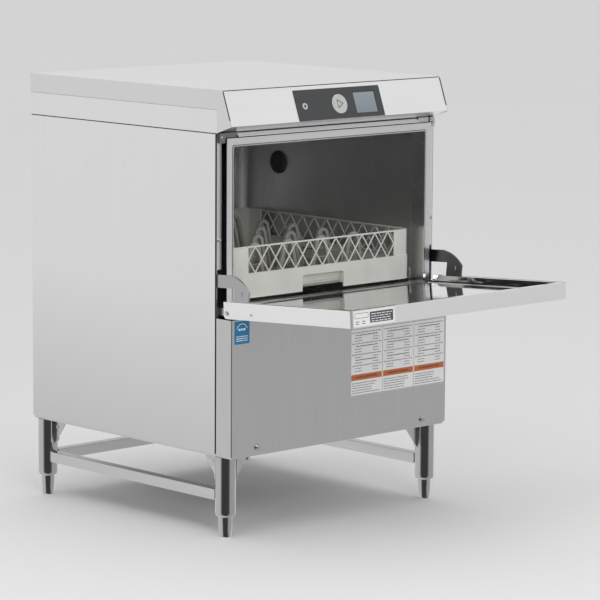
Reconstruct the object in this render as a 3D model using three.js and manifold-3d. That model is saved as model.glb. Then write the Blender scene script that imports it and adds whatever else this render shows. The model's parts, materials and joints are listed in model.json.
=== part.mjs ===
// Undercounter commercial dishwasher on a leg stand, door open and rack in place.
// Millimetres, +X to the right when facing the front, front towards -Y, +Z up, floor at Z 0.
// While building, Y 0 is the face of the lower front panel; CENTRE_Y moves the whole to the middle.
import * as THREE from "three";
import { mergeVertices } from "three/addons/utils/BufferGeometryUtils.js";
import Module from "manifold-3d";

const wasm = await Module();
wasm.setup();

// Overall sizes
const HALF_WIDTH = 304;
const BACK_Y = 628;
const CENTRE_Y = -158;
const GAP = 0.3;
const SHEET = 1.5;

// Heights above the floor
const BODY_BOTTOM = 168;
const PANEL_TOP = 441.5;
const SKIRT_BOTTOM = 854;
const HOOD_TOP = 893;

// Hood and fascia, side view
const FASCIA_TOP_Y = 29.4;
const LIP_Y = 3;
const LIP_Z = 822;
const CHEEK_Y = 44.6;
const CHEEK_Z = 808;
const FASCIA_RISE = HOOD_TOP - LIP_Z;
const FASCIA_RUN = FASCIA_TOP_Y - LIP_Y;
const FASCIA_LENGTH = Math.hypot(FASCIA_RISE, FASCIA_RUN);
const FASCIA_TILT = Math.atan2(FASCIA_RUN, FASCIA_RISE);

// Controls, centred heights measured up the sloped fascia from its lip
const BEZEL_WIDTH = 240;
const BEZEL_HEIGHT = 64.6;
const BEZEL_MIDDLE = 33.6;
const CONTROL_MIDDLE = 31.8;
const START_X = -0.6;
const START_RADIUS = 20.5;
const POWER_X = -96;
const POWER_RADIUS = 7;
const DISPLAY_X = 72.4;
const DISPLAY_WIDTH = 62;
const DISPLAY_HEIGHT = 46.6;

// Side panels
const PANEL_FRONT_Y = 45;
const FLANGE_INNER_X = 290;
const SLOT_BOTTOM = 440;
const SLOT_TOP = 538;

// Wash tub
const TUB_HALF = 268.5;
const TUB_FRONT_Y = 34.5;
const TUB_SLEEVE_Y = 70.8;
const TUB_BACK_Y = 590;
const TUB_FLOOR = 412;
const TUB_CEILING = 795.2;
const TUB_FLANGE = 17;
const TUB_OPEN_TOP = 780;
const TUB_OPEN_BOTTOM = 462;
const TUB_CORNER = 34;
const WELL = { x: 110, y0: 90, y1: 235, z: 335 };

// Wash arms, pump and pipes
const SPIN_Y = 316;
const PUMP = { x: 10, y: 420, z: 262 };
const PIPE_Z = 366;

// Door, written closed; it is turned open about the hinge line
const HINGE_Y = 11;
const HINGE_Z = 455;
const DOOR_OPEN_DEG = 86.5;
const DOOR_BOTTOM = 443.5;
const DOOR_TOP = 804;
const DOOR_DEPTH = 33.7;
const PAN_Y = 22;

// Rack
const RACK_HALF = 250;
const RACK_FRONT_Y = 59;
const RACK_BOTTOM = 470.8;
const RACK_TOP = 575.3;
const RACK_BAND = 521.3;
const RACK_WALL = 2.4;
const WINDOW_HALF = 205;
const DIAMONDS = 11;
const FINGER_FIRST = -194;
const FINGER_PITCH_Y = 92;
const FINGER_PITCH_X = 93;
const FINGER_CROWN = 16;
const FINGER_FOOT = 34;
const FINGER_WALL = 8;
const FINGER_DROP = 2.6;

// Stand
const LEG_X = 283;
const LEG_FRONT_Y = 39.6;
const LEG_BACK_Y = 602;
const LEG_RADIUS = 20.6;
const LEG_BOTTOM = 41;
const BRACE_Z = 83;
const BRACE_SIZE = 22;
const RAIL_BOTTOM = 163;
const GUSSET_REACH = 43;
const GUSSET_DROP = 54;

const STEEL = material(0xc9cacb, 0.35, 1);
const STEEL_LIGHT = material(0xdcddde, 0.3, 1);
const STEEL_DARK = material(0x8e9092, 0.35, 1);
const MIRROR = material(0xb9babb, 0.08, 1);
const BLACK = material(0x2c2d2f, 0.5, 0);
const GLASS = material(0x87949e, 0.15, 0);
const BUTTON = material(0xc8cbc8, 0.45, 0);
const CREAM = material(0xcfcec6, 0.55, 0);
const PLASTIC = material(0x4a4d52, 0.5, 0);
const RUBBER = material(0x1d1d1e, 0.8, 0);
const MOTOR = material(0x3b4650, 0.5, 0.3);
const COPPER = material(0xa9714a, 0.4, 1);

const group = new THREE.Group();
group.name = "dishwasher";

function material(color, roughness, metalness) {
  return new THREE.MeshStandardMaterial({ color, roughness, metalness });
}

// ---- helpers ----

function solid(geometry) {
  const flat = geometry.index ? geometry.toNonIndexed() : geometry;
  const bare = new THREE.BufferGeometry();
  bare.setAttribute("position", flat.getAttribute("position"));
  const merged = mergeVertices(bare, 1e-3);
  const made = new wasm.Manifold(new wasm.Mesh({
    numProp: 3,
    vertProperties: merged.attributes.position.array,
    triVerts: new Uint32Array(merged.index.array),
  }));
  return made;
}

function join(...parts) {
  return parts.reduce((all, part) => all.add(part));
}

function cut(body, ...tools) {
  return tools.reduce((left, tool) => left.subtract(tool), body);
}

function geometryOf(body) {
  const mesh = body.getMesh();
  const geometry = new THREE.BufferGeometry();
  geometry.setAttribute("position", new THREE.BufferAttribute(mesh.vertProperties, 3));
  geometry.setIndex(new THREE.BufferAttribute(mesh.triVerts, 1));
  const flat = geometry.toNonIndexed();
  flat.computeVertexNormals();
  return flat;
}

function add(name, body, look) {
  const mesh = new THREE.Mesh(geometryOf(body.translate([0, CENTRE_Y, 0])), look);
  mesh.name = name;
  group.add(mesh);
}

function box(x0, x1, y0, y1, z0, z1) {
  const shape = new THREE.BoxGeometry(x1 - x0, y1 - y0, z1 - z0);
  shape.translate((x0 + x1) / 2, (y0 + y1) / 2, (z0 + z1) / 2);
  return solid(shape);
}

function outline(points) {
  return new THREE.Shape(points.map(([a, b]) => new THREE.Vector2(a, b)));
}

function extruded(shape, depth, curveSegments = 3) {
  return new THREE.ExtrudeGeometry(shape, { depth, bevelEnabled: false, curveSegments });
}

// A side view in (Y, Z), run along X from x0 to x1.
function alongX(points, x0, x1) {
  const shape = Array.isArray(points) ? outline(points) : points;
  const geometry = extruded(shape, x1 - x0);
  geometry.rotateY(Math.PI / 2);
  geometry.rotateX(Math.PI / 2);
  geometry.translate(x0, 0, 0);
  return solid(geometry);
}

// A front view in (X, Z), run along Y from y0 to y1.
function alongY(shape, y0, y1, curveSegments = 3) {
  const geometry = extruded(shape, y1 - y0, curveSegments);
  geometry.rotateX(Math.PI / 2);
  geometry.translate(0, y1, 0);
  return solid(geometry);
}

// A plan view in (X, Y), run along Z from z0 to z1.
function alongZ(shape, z0, z1) {
  const geometry = extruded(shape, z1 - z0);
  geometry.translate(0, 0, z0);
  return solid(geometry);
}

function roundRect(x0, x1, y0, y1, radius) {
  const shape = new THREE.Shape();
  shape.moveTo(x0 + radius, y0);
  shape.lineTo(x1 - radius, y0);
  shape.absarc(x1 - radius, y0 + radius, radius, -Math.PI / 2, 0, false);
  shape.lineTo(x1, y1 - radius);
  shape.absarc(x1 - radius, y1 - radius, radius, 0, Math.PI / 2, false);
  shape.lineTo(x0 + radius, y1);
  shape.absarc(x0 + radius, y1 - radius, radius, Math.PI / 2, Math.PI, false);
  shape.lineTo(x0, y0 + radius);
  shape.absarc(x0 + radius, y0 + radius, radius, Math.PI, 1.5 * Math.PI, false);
  return shape;
}

// A turned piece about Z from a profile of [radius, height] that starts and ends on the axis.
function turned(profile, segments = 20) {
  const points = profile.map(([r, z]) => new THREE.Vector2(r, z));
  const geometry = new THREE.LatheGeometry(points, segments);
  geometry.rotateX(Math.PI / 2);
  const made = solid(geometry);
  return made.volume() < 0 ? solid(geometry.scale(1, -1, 1)) : made;
}

function disc(radius, z0, z1, segments = 20) {
  return turned([[0, z0], [radius, z0], [radius, z1], [0, z1]], segments);
}

// A path of straight runs and rounded bends that passes through each of its knots in turn.
class BentPath extends THREE.Curve {
  constructor(points, perBend) {
    super();
    const corners = points.map((p) => new THREE.Vector3(...p.slice(0, 3)));
    this.knots = [corners[0]];
    for (let i = 1; i < corners.length - 1; i += 1) {
      const bend = points[i][3];
      const back = corners[i - 1].clone().sub(corners[i]).setLength(bend).add(corners[i]);
      const on = corners[i + 1].clone().sub(corners[i]).setLength(bend).add(corners[i]);
      const turn = new THREE.QuadraticBezierCurve3(back, corners[i], on);
      this.knots.push(...turn.getPoints(perBend));
    }
    this.knots.push(corners[corners.length - 1]);
  }

  getPoint(t) {
    const place = Math.min(Math.max(t, 0), 1) * (this.knots.length - 1);
    const i = Math.min(Math.floor(place), this.knots.length - 2);
    return this.knots[i].clone().lerp(this.knots[i + 1], place - i);
  }

  getUtoTmapping(u) {
    return u;
  }

  getTangent(t) {
    const i = Math.round(t * (this.knots.length - 1));
    const here = this.knots[i];
    const on = this.knots[i + 1] ?? here;
    const back = this.knots[i - 1] ?? here;
    const ahead = on.clone().sub(here).normalize();
    const behind = here.clone().sub(back).normalize();
    return ahead.add(behind).normalize();
  }
}

// A round bar along a bent path; a bend is [x, y, z, length given to the bend].
function swept(points, radius, perBend = 3, sides = 12) {
  const circle = new THREE.Shape();
  circle.absarc(0, 0, radius, 0, 2 * Math.PI, false);
  const path = new BentPath(points, perBend);
  return solid(new THREE.ExtrudeGeometry(circle, {
    extrudePath: path,
    steps: path.knots.length - 1,
    bevelEnabled: false,
    curveSegments: sides / 2,
  }));
}

function pipe(points, radius) {
  const last = points.length - 1;
  const from = new THREE.Vector3(...points[0].slice(0, 3));
  const to = new THREE.Vector3(...points[last].slice(0, 3));
  const before = new THREE.Vector3(...points[1].slice(0, 3));
  const after = new THREE.Vector3(...points[last - 1].slice(0, 3));
  from.add(from.clone().sub(before).setLength(2));
  to.add(to.clone().sub(after).setLength(2));
  const inner = points.map((p) => p.slice());
  inner[0].splice(0, 3, from.x, from.y, from.z);
  inner[last].splice(0, 3, to.x, to.y, to.z);
  return [swept(points, radius, 2, 12), swept(inner, radius - 2, 2, 8)];
}

function mirrored(body) {
  return body.mirror([1, 0, 0]);
}

// ---- hood and controls ----

function hoodSide(inset) {
  const i = inset;
  return [
    [BACK_Y - i, SKIRT_BOTTOM - i],
    [BACK_Y - i, HOOD_TOP - i],
    [FASCIA_TOP_Y + 0.6 * i, HOOD_TOP - i],
    [LIP_Y + 1.4 * i, LIP_Z - i],
    [CHEEK_Y - i, CHEEK_Z - i],
    [CHEEK_Y - i, SKIRT_BOTTOM - i],
  ];
}

function hoodCover() {
  const outer = alongX(hoodSide(0), -HALF_WIDTH, HALF_WIDTH);
  const inside = [
    [BACK_Y - SHEET, 700],
    [BACK_Y - SHEET, HOOD_TOP - SHEET],
    [FASCIA_TOP_Y + 6, HOOD_TOP - SHEET],
    [FASCIA_TOP_Y - 12, HOOD_TOP - SHEET],
    [-30, 700],
  ];
  const hollow = alongX(inside, -HALF_WIDTH + SHEET, HALF_WIDTH - SHEET);
  return cut(outer, hollow);
}

// The fascia lies in a frame of its own: X across, Y out of the panel, Z up the slope.
function onFascia(body) {
  const turn = (FASCIA_TILT * 180) / Math.PI;
  return body.rotate([-turn, 0, 0]).translate([0, LIP_Y, LIP_Z]);
}

function fasciaPanel() {
  const half = HALF_WIDTH - SHEET - GAP;
  const face = box(-half, half, 0, SHEET, 1, FASCIA_LENGTH - 2.5);
  const hole = box(-BEZEL_WIDTH / 2, BEZEL_WIDTH / 2, -5, 5,
    BEZEL_MIDDLE - BEZEL_HEIGHT / 2, BEZEL_MIDDLE + BEZEL_HEIGHT / 2);
  const slope = onFascia(face);
  const under = alongX([
    [LIP_Y + 0.6, LIP_Z + 0.9],
    [CHEEK_Y - 2.4, CHEEK_Z + 0.9],
    [CHEEK_Y - 2.4, CHEEK_Z + 2.4],
    [LIP_Y + 2.1, LIP_Z + 2.5],
  ], -half, half);
  return cut(join(slope, under), onFascia(hole));
}

function controlBezel() {
  const w = BEZEL_WIDTH / 2 - GAP;
  const z0 = BEZEL_MIDDLE - BEZEL_HEIGHT / 2 + GAP;
  const z1 = BEZEL_MIDDLE + BEZEL_HEIGHT / 2 - GAP;
  const plate = alongY(roundRect(-w, w, z0, z1, 2), -0.8, 5);
  const window = box(
    DISPLAY_X - DISPLAY_WIDTH / 2, DISPLAY_X + DISPLAY_WIDTH / 2, -3, 2.5,
    CONTROL_MIDDLE - DISPLAY_HEIGHT / 2, CONTROL_MIDDLE + DISPLAY_HEIGHT / 2);
  const start = facingOut(disc(START_RADIUS, -8, 8, 40), START_X, CONTROL_MIDDLE);
  const power = facingOut(disc(POWER_RADIUS, -8, 8, 20), POWER_X, CONTROL_MIDDLE);
  return onFascia(cut(plate, window, start, power));
}

// Turns a piece made about Z so that +Z points out of the fascia, at a place on the fascia.
function facingOut(body, x, up) {
  return body.rotate([90, 0, 0]).translate([x, 0, up]);
}

function displayWindow() {
  const w = DISPLAY_WIDTH / 2 - GAP;
  const h = DISPLAY_HEIGHT / 2 - GAP;
  return onFascia(box(DISPLAY_X - w, DISPLAY_X + w, -0.4, 2.2,
    CONTROL_MIDDLE - h, CONTROL_MIDDLE + h));
}

function startButton() {
  const cap = disc(START_RADIUS - GAP, -4.5, 2.2, 40);
  const dish = turned([[0, 1.7], [START_RADIUS - 5, 2.3], [START_RADIUS - 5, 4], [0, 4]], 40);
  const stem = disc(5, -12, -4, 16);
  return onFascia(facingOut(join(cut(cap, dish), stem), START_X, CONTROL_MIDDLE));
}

function powerButton() {
  const cap = disc(POWER_RADIUS - GAP, -4.5, 1.8, 20);
  const ring = cut(disc(4.6, 1.2, 3, 20), disc(2.6, 0, 4, 20));
  const stem = disc(2.5, -12, -4, 12);
  return onFascia(facingOut(join(cut(cap, ring), stem), POWER_X, CONTROL_MIDDLE));
}

function controlBox() {
  const side = [[62, 824], [250, 824], [250, 876], [62, 876]];
  const body = alongX(side, -150, 150);
  const terminals = box(-120, 40, 250, 262, 836, 856);
  return join(body, terminals);
}

// ---- body shell ----

function sidePanel() {
  const outer = HALF_WIDTH - 0.8;
  const sheet = box(outer - SHEET, outer, PANEL_FRONT_Y, BACK_Y - 2, BODY_BOTTOM, SKIRT_BOTTOM - GAP);
  const flange = box(FLANGE_INNER_X, outer, PANEL_FRONT_Y, PANEL_FRONT_Y + SHEET,
    BODY_BOTTOM, CHEEK_Z - GAP);
  const rear = box(FLANGE_INNER_X, outer, BACK_Y - 2 - SHEET, BACK_Y - 2,
    BODY_BOTTOM, SKIRT_BOTTOM - GAP);
  const foot = box(FLANGE_INNER_X, outer, PANEL_FRONT_Y, BACK_Y - 2, BODY_BOTTOM, BODY_BOTTOM + SHEET);
  const slot = box(200, outer - SHEET, 20, 60, SLOT_BOTTOM, SLOT_TOP);
  return cut(join(sheet, flange, rear, foot), slot);
}

function rearPanel() {
  const half = FLANGE_INNER_X - GAP;
  const sheet = box(-half, half, BACK_Y - 3.5, BACK_Y - 2, BODY_BOTTOM + SHEET + GAP,
    SKIRT_BOTTOM - GAP);
  const inlet = fromBack(disc(14.3, -10, 10, 20), -180, 236);
  const outlet = fromBack(disc(20.3, -10, 10, 20), -60, 214);
  const gland = fromBack(disc(12.3, -10, 10, 20), 190, 236);
  return cut(sheet, inlet, outlet, gland);
}

// Turns a piece made about Z so that +Z points out of the back, at a place on the rear panel.
function fromBack(body, x, z) {
  return body.rotate([-90, 0, 0]).translate([x, BACK_Y - 2, z]);
}

function lowerFrontPanel() {
  const front = roundRect(-HALF_WIDTH, HALF_WIDTH, 0, 80, 2.4);
  const inner = roundRect(-HALF_WIDTH + SHEET, HALF_WIDTH - SHEET, SHEET, 90, 0.9);
  const shell = cut(
    alongZ(front, BODY_BOTTOM, PANEL_TOP),
    alongZ(inner, BODY_BOTTOM - 5, PANEL_TOP + 5),
    box(-400, 400, PANEL_FRONT_Y - GAP, 100, 0, 600));
  const top = box(-288, 288, SHEET - 0.5, 27, PANEL_TOP - SHEET, PANEL_TOP);
  const bottom = box(-HALF_WIDTH + 2, HALF_WIDTH - 2, SHEET - 0.5, 15,
    BODY_BOTTOM, BODY_BOTTOM + SHEET);
  return join(shell, top, bottom);
}

function basePan() {
  const half = FLANGE_INNER_X - 0.5;
  const z = BODY_BOTTOM;
  const plate = box(-half, half, 18, BACK_Y - 6, z, z + SHEET);
  const lip = box(-half + 14, half - 14, 18, 18 + SHEET, z, z + 14);
  return join(plate, lip);
}

function topRail() {
  const side = [
    [37, 798.5], [39, 798.5], [46.5, 807.5], [46.5, 815], [45, 815], [45, 808.5], [37, 799.5],
  ];
  return alongX(side, -253, 253);
}

function latch() {
  const plate = box(286.3, 299.5, 37.5, 44.6, 788, 808);
  const arm = box(254, 287, 40.5, 44.6, 797.8, 808);
  const roller = disc(4.2, 0, 3.6, 16).rotate([90, 0, 0]).translate([294, 38, 799]);
  return join(plate, arm, roller);
}

// ---- wash tub and what is in it ----

function washTub() {
  const t = SHEET;
  const shell = cut(
    alongZ(roundRect(-TUB_HALF - t, TUB_HALF + t, TUB_FRONT_Y, TUB_BACK_Y + t, TUB_CORNER),
      TUB_FLOOR - t, TUB_CEILING + t),
    alongZ(roundRect(-TUB_HALF, TUB_HALF, TUB_FRONT_Y - 60, TUB_BACK_Y, TUB_CORNER - t),
      TUB_FLOOR, TUB_CEILING),
    box(-400, 400, 0, TUB_SLEEVE_Y, 300, 900));
  const well = box(-WELL.x - t, WELL.x + t, WELL.y0 - t, WELL.y1 + t, WELL.z - t, TUB_FLOOR);
  const wellHollow = box(-WELL.x, WELL.x, WELL.y0, WELL.y1, WELL.z, TUB_FLOOR + 5);
  const holes = [
    disc(15.3, TUB_FLOOR - 9, TUB_FLOOR + 9, 16).translate([0, SPIN_Y, 0]),
    disc(15.3, TUB_CEILING - 9, TUB_CEILING + 9, 16).translate([0, SPIN_Y, 0]),
    disc(20.3, WELL.z - 9, WELL.z + 9, 16).translate([-85, 160, 0]),
    disc(15.3, WELL.z - 9, WELL.z + 9, 16).translate([60, 160, 0]),
    disc(16.3, -9, 9, 16).rotate([0, 90, 0]).translate([TUB_HALF, 480, 681]),
  ];
  return cut(join(shell, well), wellHollow, ...holes);
}

// The chamber's front frame: a flange round the doorway, a short sleeve and a sloping sill.
function tubFront() {
  const t = SHEET;
  const out = TUB_HALF + TUB_FLANGE;
  const high = TUB_OPEN_TOP + TUB_FLANGE;
  const low = TUB_OPEN_BOTTOM - TUB_FLANGE;
  const doorway = alongY(roundRect(-TUB_HALF, TUB_HALF, TUB_OPEN_BOTTOM, TUB_OPEN_TOP, 5), 0, 90);
  const flange = cut(box(-out, out, TUB_FRONT_Y, TUB_FRONT_Y + t, low, high), doorway);
  const plate = cut(
    box(-TUB_HALF - t, TUB_HALF + t, TUB_FRONT_Y, TUB_FRONT_Y + t, TUB_FLOOR - t, TUB_CEILING + t),
    doorway);
  const sleeve = cut(
    box(-TUB_HALF - t, TUB_HALF + t, TUB_FRONT_Y, TUB_SLEEVE_Y - GAP, TUB_FLOOR - t, TUB_CEILING + t),
    box(-TUB_HALF, TUB_HALF, 0, 90, TUB_FLOOR, TUB_CEILING),
    box(-400, 400, 0, TUB_FRONT_Y + t, 300, low + 1),
    box(-400, 400, 0, TUB_FRONT_Y + t, high - 1, 900));
  const sill = alongX([
    [35.5, 460.4], [56, 463], [56, 455], [57.5, 455], [57.5, 464.5], [35.5, 462],
  ], -TUB_HALF - 0.5, TUB_HALF + 0.5);
  return join(flange, plate, sleeve, sill);
}

function wallFitting() {
  const face = turned([
    [0, 0.3], [25, 0.3], [25, 4], [22, 6.5], [15, 6.5], [13, 4], [8, 4], [8, 7], [0, 7],
  ], 20);
  const shank = disc(15.8, -14, 1, 16);
  const nut = disc(22, -12, -2 - GAP, 6);
  return join(face, shank, nut).rotate([0, -90, 0]).translate([TUB_HALF, 480, 681]);
}

function rackGuide() {
  const wall = TUB_HALF - GAP;
  const upright = box(wall - 2, wall, 75, 552, 446, 490);
  const shelf = box(236, wall, 75, 552, RACK_BOTTOM - 2.8, RACK_BOTTOM - GAP);
  const lip = box(236, 238, 75, 552, 458, RACK_BOTTOM - GAP);
  return join(upright, shelf, lip);
}

function strainer() {
  let plate = box(-WELL.x - 12, WELL.x + 12, WELL.y0 - 12, WELL.y1 + 12,
    TUB_FLOOR + GAP, TUB_FLOOR + 2.3);
  const rim = WELL.x - 1.5;
  const basket = cut(
    box(-rim, rim, WELL.y0 + 1.5, WELL.y1 - 1.5, TUB_FLOOR - 38, TUB_FLOOR + 1),
    box(-rim + 1.5, rim - 1.5, WELL.y0 + 3, WELL.y1 - 3, TUB_FLOOR - 36, TUB_FLOOR + 9));
  plate = join(plate, basket);
  const slots = [];
  for (let i = -4; i <= 4; i += 1) {
    slots.push(box(i * 22 - 6, i * 22 + 6, WELL.y0 + 14, WELL.y1 - 14,
      TUB_FLOOR - 60, TUB_FLOOR - 30));
  }
  const opening = box(-rim + 1.5, rim - 1.5, WELL.y0 + 3, WELL.y1 - 3,
    TUB_FLOOR - 1, TUB_FLOOR + 9);
  const handle = cut(
    box(-32, 32, 161, 164, TUB_FLOOR - 37, TUB_FLOOR + 9),
    box(-26, 26, 150, 170, TUB_FLOOR - 30, TUB_FLOOR + 3));
  return join(cut(plate, opening, ...slots), handle);
}

function tankHeater() {
  const loop = [
    [60, 160, WELL.z - 16], [60, 160, WELL.z + 13, 10], [60, 112, WELL.z + 13, 14],
    [-84, 112, WELL.z + 13, 14], [-84, 205, WELL.z + 13, 14], [60, 205, WELL.z + 13, 14],
    [60, 178, WELL.z + 13],
  ];
  const element = swept(loop, 4.5, 3, 8);
  const head = disc(14.8, WELL.z - 18, WELL.z + 2, 16).translate([60, 160, 0]);
  const flange = disc(22, WELL.z + GAP, WELL.z + 2.5, 16).translate([60, 160, 0]);
  return join(element, head, flange);
}

function spindle(up) {
  const z0 = TUB_FLOOR;
  const post = turned([
    [0, z0 - 22], [14.8, z0 - 22], [14.8, z0 + GAP], [24, z0 + GAP], [24, z0 + 4],
    [15, z0 + 8], [9.5, z0 + 12], [9.5, z0 + 33], [6, z0 + 33], [6, z0 + 48],
    [9, z0 + 48], [9, z0 + 51], [0, z0 + 51],
  ], 14);
  const bore = disc(4, z0 - 30, z0 + 30, 8);
  const made = cut(post, bore).translate([0, SPIN_Y, 0]);
  return up ? made : upsideDown(made);
}

// Turns a piece of the lower arms over to make the same piece under the ceiling.
function upsideDown(body) {
  return body.mirror([0, 0, 1]).translate([0, 0, TUB_FLOOR + TUB_CEILING]);
}

function washArm(up) {
  const z0 = TUB_FLOOR + 14;
  const half = 232;
  const shape = new THREE.Shape();
  shape.absarc(-half + 11, 0, 11, Math.PI / 2, 1.5 * Math.PI, false);
  shape.lineTo(-40, -22);
  shape.absarc(0, 0, 30, 1.5 * Math.PI - 0.75, 1.5 * Math.PI + 0.75, false);
  shape.lineTo(40, -22);
  shape.absarc(half - 11, 0, 11, -Math.PI / 2, Math.PI / 2, false);
  shape.lineTo(40, 22);
  shape.absarc(0, 0, 30, Math.PI / 2 - 0.75, Math.PI / 2 + 0.75, false);
  shape.lineTo(-40, 22);
  const blade = alongZ(shape, z0, z0 + 14);
  const hub = disc(19, z0 - 1, z0 + 18, 16);
  const jets = [];
  for (let i = 1; i <= 4; i += 1) {
    const r = 50 + i * 40;
    jets.push(box(r - 9, r + 9, -2.5, 2.5, z0 + 8, z0 + 30));
    jets.push(box(-r - 9, -r + 9, -2.5, 2.5, z0 + 8, z0 + 30));
  }
  const bore = disc(9.9, z0 - 9, z0 + 60, 16);
  const made = cut(join(blade, hub), bore, ...jets).translate([0, SPIN_Y, 0]);
  return up ? made : upsideDown(made);
}

function rinseArm(up) {
  const z0 = TUB_FLOOR + 35;
  const tube = join(
    box(-205, 205, -6, 6, z0 + 2, z0 + 9),
    disc(15, z0, z0 + 12, 16));
  const jets = [];
  for (let i = 1; i <= 4; i += 1) {
    jets.push(box(i * 48 - 4, i * 48 + 4, -1.2, 1.2, z0 + 5, z0 + 20));
    jets.push(box(-i * 48 - 4, -i * 48 + 4, -1.2, 1.2, z0 + 5, z0 + 20));
  }
  const bore = disc(6.4, z0 - 9, z0 + 60, 16);
  const made = cut(tube, bore, ...jets).rotate([0, 0, up ? 62 : 14]).translate([0, SPIN_Y, 0]);
  return up ? made : upsideDown(made);
}

// ---- pumps, heater and pipes under the tub ----

function pumpPlace(body) {
  return body.rotate([0, 90, 0]).translate([PUMP.x, PUMP.y, PUMP.z]);
}

function pumpVolute() {
  const shell = turned([
    [0, -26], [40, -26], [60, -16], [60, 16], [48, 26], [0, 26],
  ], 18);
  const hollow = turned([[0, -22], [38, -22], [55, -14], [55, 14], [46, 21], [0, 21]], 16);
  const inletTube = cut(disc(21, -64, -20, 20), disc(18, -70, -10, 20));
  const inlet = disc(18, -40, -10, 20);
  const shaftHole = disc(8.3, 10, 40, 16);
  const body = pumpPlace(cut(join(shell, inletTube), hollow, inlet, shaftHole));
  const out = disc(15, 36, 80, 16).translate([PUMP.x, PUMP.y + 40, PUMP.z]);
  const outHollow = disc(12, 20, 99, 12).translate([PUMP.x, PUMP.y + 40, PUMP.z]);
  return cut(join(body, cut(out, pumpPlace(hollow))), outHollow);
}

function pumpImpeller() {
  const plate = disc(42, 6, 9, 20);
  const eye = disc(10, -8, 8, 16);
  const shaft = disc(8, 7, 190, 16);
  const blades = [];
  for (let i = 0; i < 6; i += 1) {
    blades.push(box(6, 40, -1.5, 1.5, -8, 7).rotate([0, 0, i * 60]));
  }
  return pumpPlace(join(plate, eye, shaft, ...blades));
}

function pumpMotor() {
  const shell = turned([
    [0, 26 + GAP], [48, 26 + GAP], [52, 34], [52, 166], [46, 178], [0, 178],
  ], 24);
  const bore = disc(8.3, 0, 200, 16);
  const body = pumpPlace(cut(shell, bore));
  const x = PUMP.x + 104;
  const top = BODY_BOTTOM + SHEET + GAP;
  const foot = join(
    box(x - 50, x + 50, PUMP.y - 40, PUMP.y + 40, top, top + 4),
    box(x - 42, x + 42, PUMP.y - 20, PUMP.y + 20, top + 3, PUMP.z - 44));
  const capacitor = box(x - 40, x + 40, PUMP.y - 22, PUMP.y + 22, PUMP.z + 46, PUMP.z + 78);
  const core = pumpPlace(disc(45, 0, 200, 24));
  return join(body, cut(foot, core), cut(capacitor, core));
}

function suctionHose() {
  const [outer, inner] = pipe([
    [-85, 160, WELL.z - 20], [-85, 160, PUMP.z, 45], [-130, PUMP.y, PUMP.z, 50],
    [PUMP.x - 66, PUMP.y, PUMP.z],
  ], 20);
  return cut(outer, inner);
}

function washPipe() {
  const y = PUMP.y + 40;
  const riser = [
    [PUMP.x, y, PUMP.z + 80 + GAP], [PUMP.x, y, PIPE_Z, 14], [0, 609, PIPE_Z, 24],
    [0, 609, 850, 26], [0, SPIN_Y, 850, 24], [0, SPIN_Y, TUB_CEILING + 22 + GAP],
  ];
  const branch = [
    [PUMP.x, y, PIPE_Z], [0, SPIN_Y, PIPE_Z, 16], [0, SPIN_Y, TUB_FLOOR - 22 - GAP],
  ];
  const [outer, inner] = pipe(riser, 13.5);
  const [outer2, inner2] = pipe(branch, 13.5);
  return cut(join(outer, outer2), inner, inner2);
}

function boosterTank() {
  const tank = turned([
    [0, 0], [60, 0], [68, 8], [68, 188], [60, 196], [0, 196],
  ], 24).translate([-200, 480, 180]);
  const legs = [];
  for (const side of [-1, 1]) {
    legs.push(box(-200 + side * 50 - 6, -200 + side * 50 + 6, 440, 520,
      BODY_BOTTOM + SHEET + GAP, 190));
  }
  const flange = disc(36, 194, 208, 8).translate([-200, 480, 180]);
  const hollow = turned([[0, 2.5], [57.5, 2.5], [65.5, 10.5], [65.5, 185.5], [57.5, 193.5],
    [20, 193.5], [20, 220], [0, 220]], 24).translate([-200, 480, 180]);
  return cut(join(tank, flange, ...legs), hollow);
}

function drainPump() {
  const top = BODY_BOTTOM + SHEET + GAP;
  const body = disc(32, 0, 62, 20).rotate([0, 90, 0]).translate([-90, 538, 222]);
  const bowl = disc(38, 0, 26, 20).rotate([0, 90, 0]).translate([-114, 538, 222]);
  const foot = box(-108, -40, 513, 563, top, 200);
  return join(body, bowl, foot);
}

function waterInlet() {
  const stub = turned([
    [0, -40], [17, -40], [17, -2], [14, -1.6], [14, 2], [19, 2.3], [19, 8],
    [13.2, 8], [13.2, 26], [0, 26],
  ], 16);
  return fromBack(cut(stub, disc(9.5, -20, 40, 12)), -180, 236);
}

function drainOutlet() {
  const stub = turned([
    [0, -40], [24, -40], [24, -2], [20, -1.6], [20, 2], [24, 2.3], [24, 5],
    [18, 5], [18, 27], [0, 27],
  ], 16);
  return fromBack(cut(stub, disc(14.5, -30, 40, 12)), -60, 214);
}

function cableGland() {
  const nut = disc(15, 0.3, 8, 6);
  const shank = disc(12, -12, 1, 20);
  const dome = turned([[0, 7], [12, 7], [12, 15], [9, 20], [0, 20]], 20);
  return fromBack(cut(join(nut, shank, dome), disc(5.5, -30, 40, 16)), 190, 236);
}

// ---- door ----

function opened(body) {
  return body.translate([0, -HINGE_Y, -HINGE_Z])
    .rotate([DOOR_OPEN_DEG, 0, 0])
    .translate([0, HINGE_Y, HINGE_Z]);
}

function doorEdge(inset, bottomRadius, depth) {
  const y = inset;
  const z = DOOR_BOTTOM + inset;
  const points = [[depth, z]];
  for (let i = 0; i <= 5; i += 1) {
    const a = (i / 5) * (Math.PI / 2);
    points.push([
      y + bottomRadius - bottomRadius * Math.sin(a),
      z + bottomRadius - bottomRadius * Math.cos(a),
    ]);
  }
  points.push([y, DOOR_TOP + 10], [depth, DOOR_TOP + 10]);
  return points;
}

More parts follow.
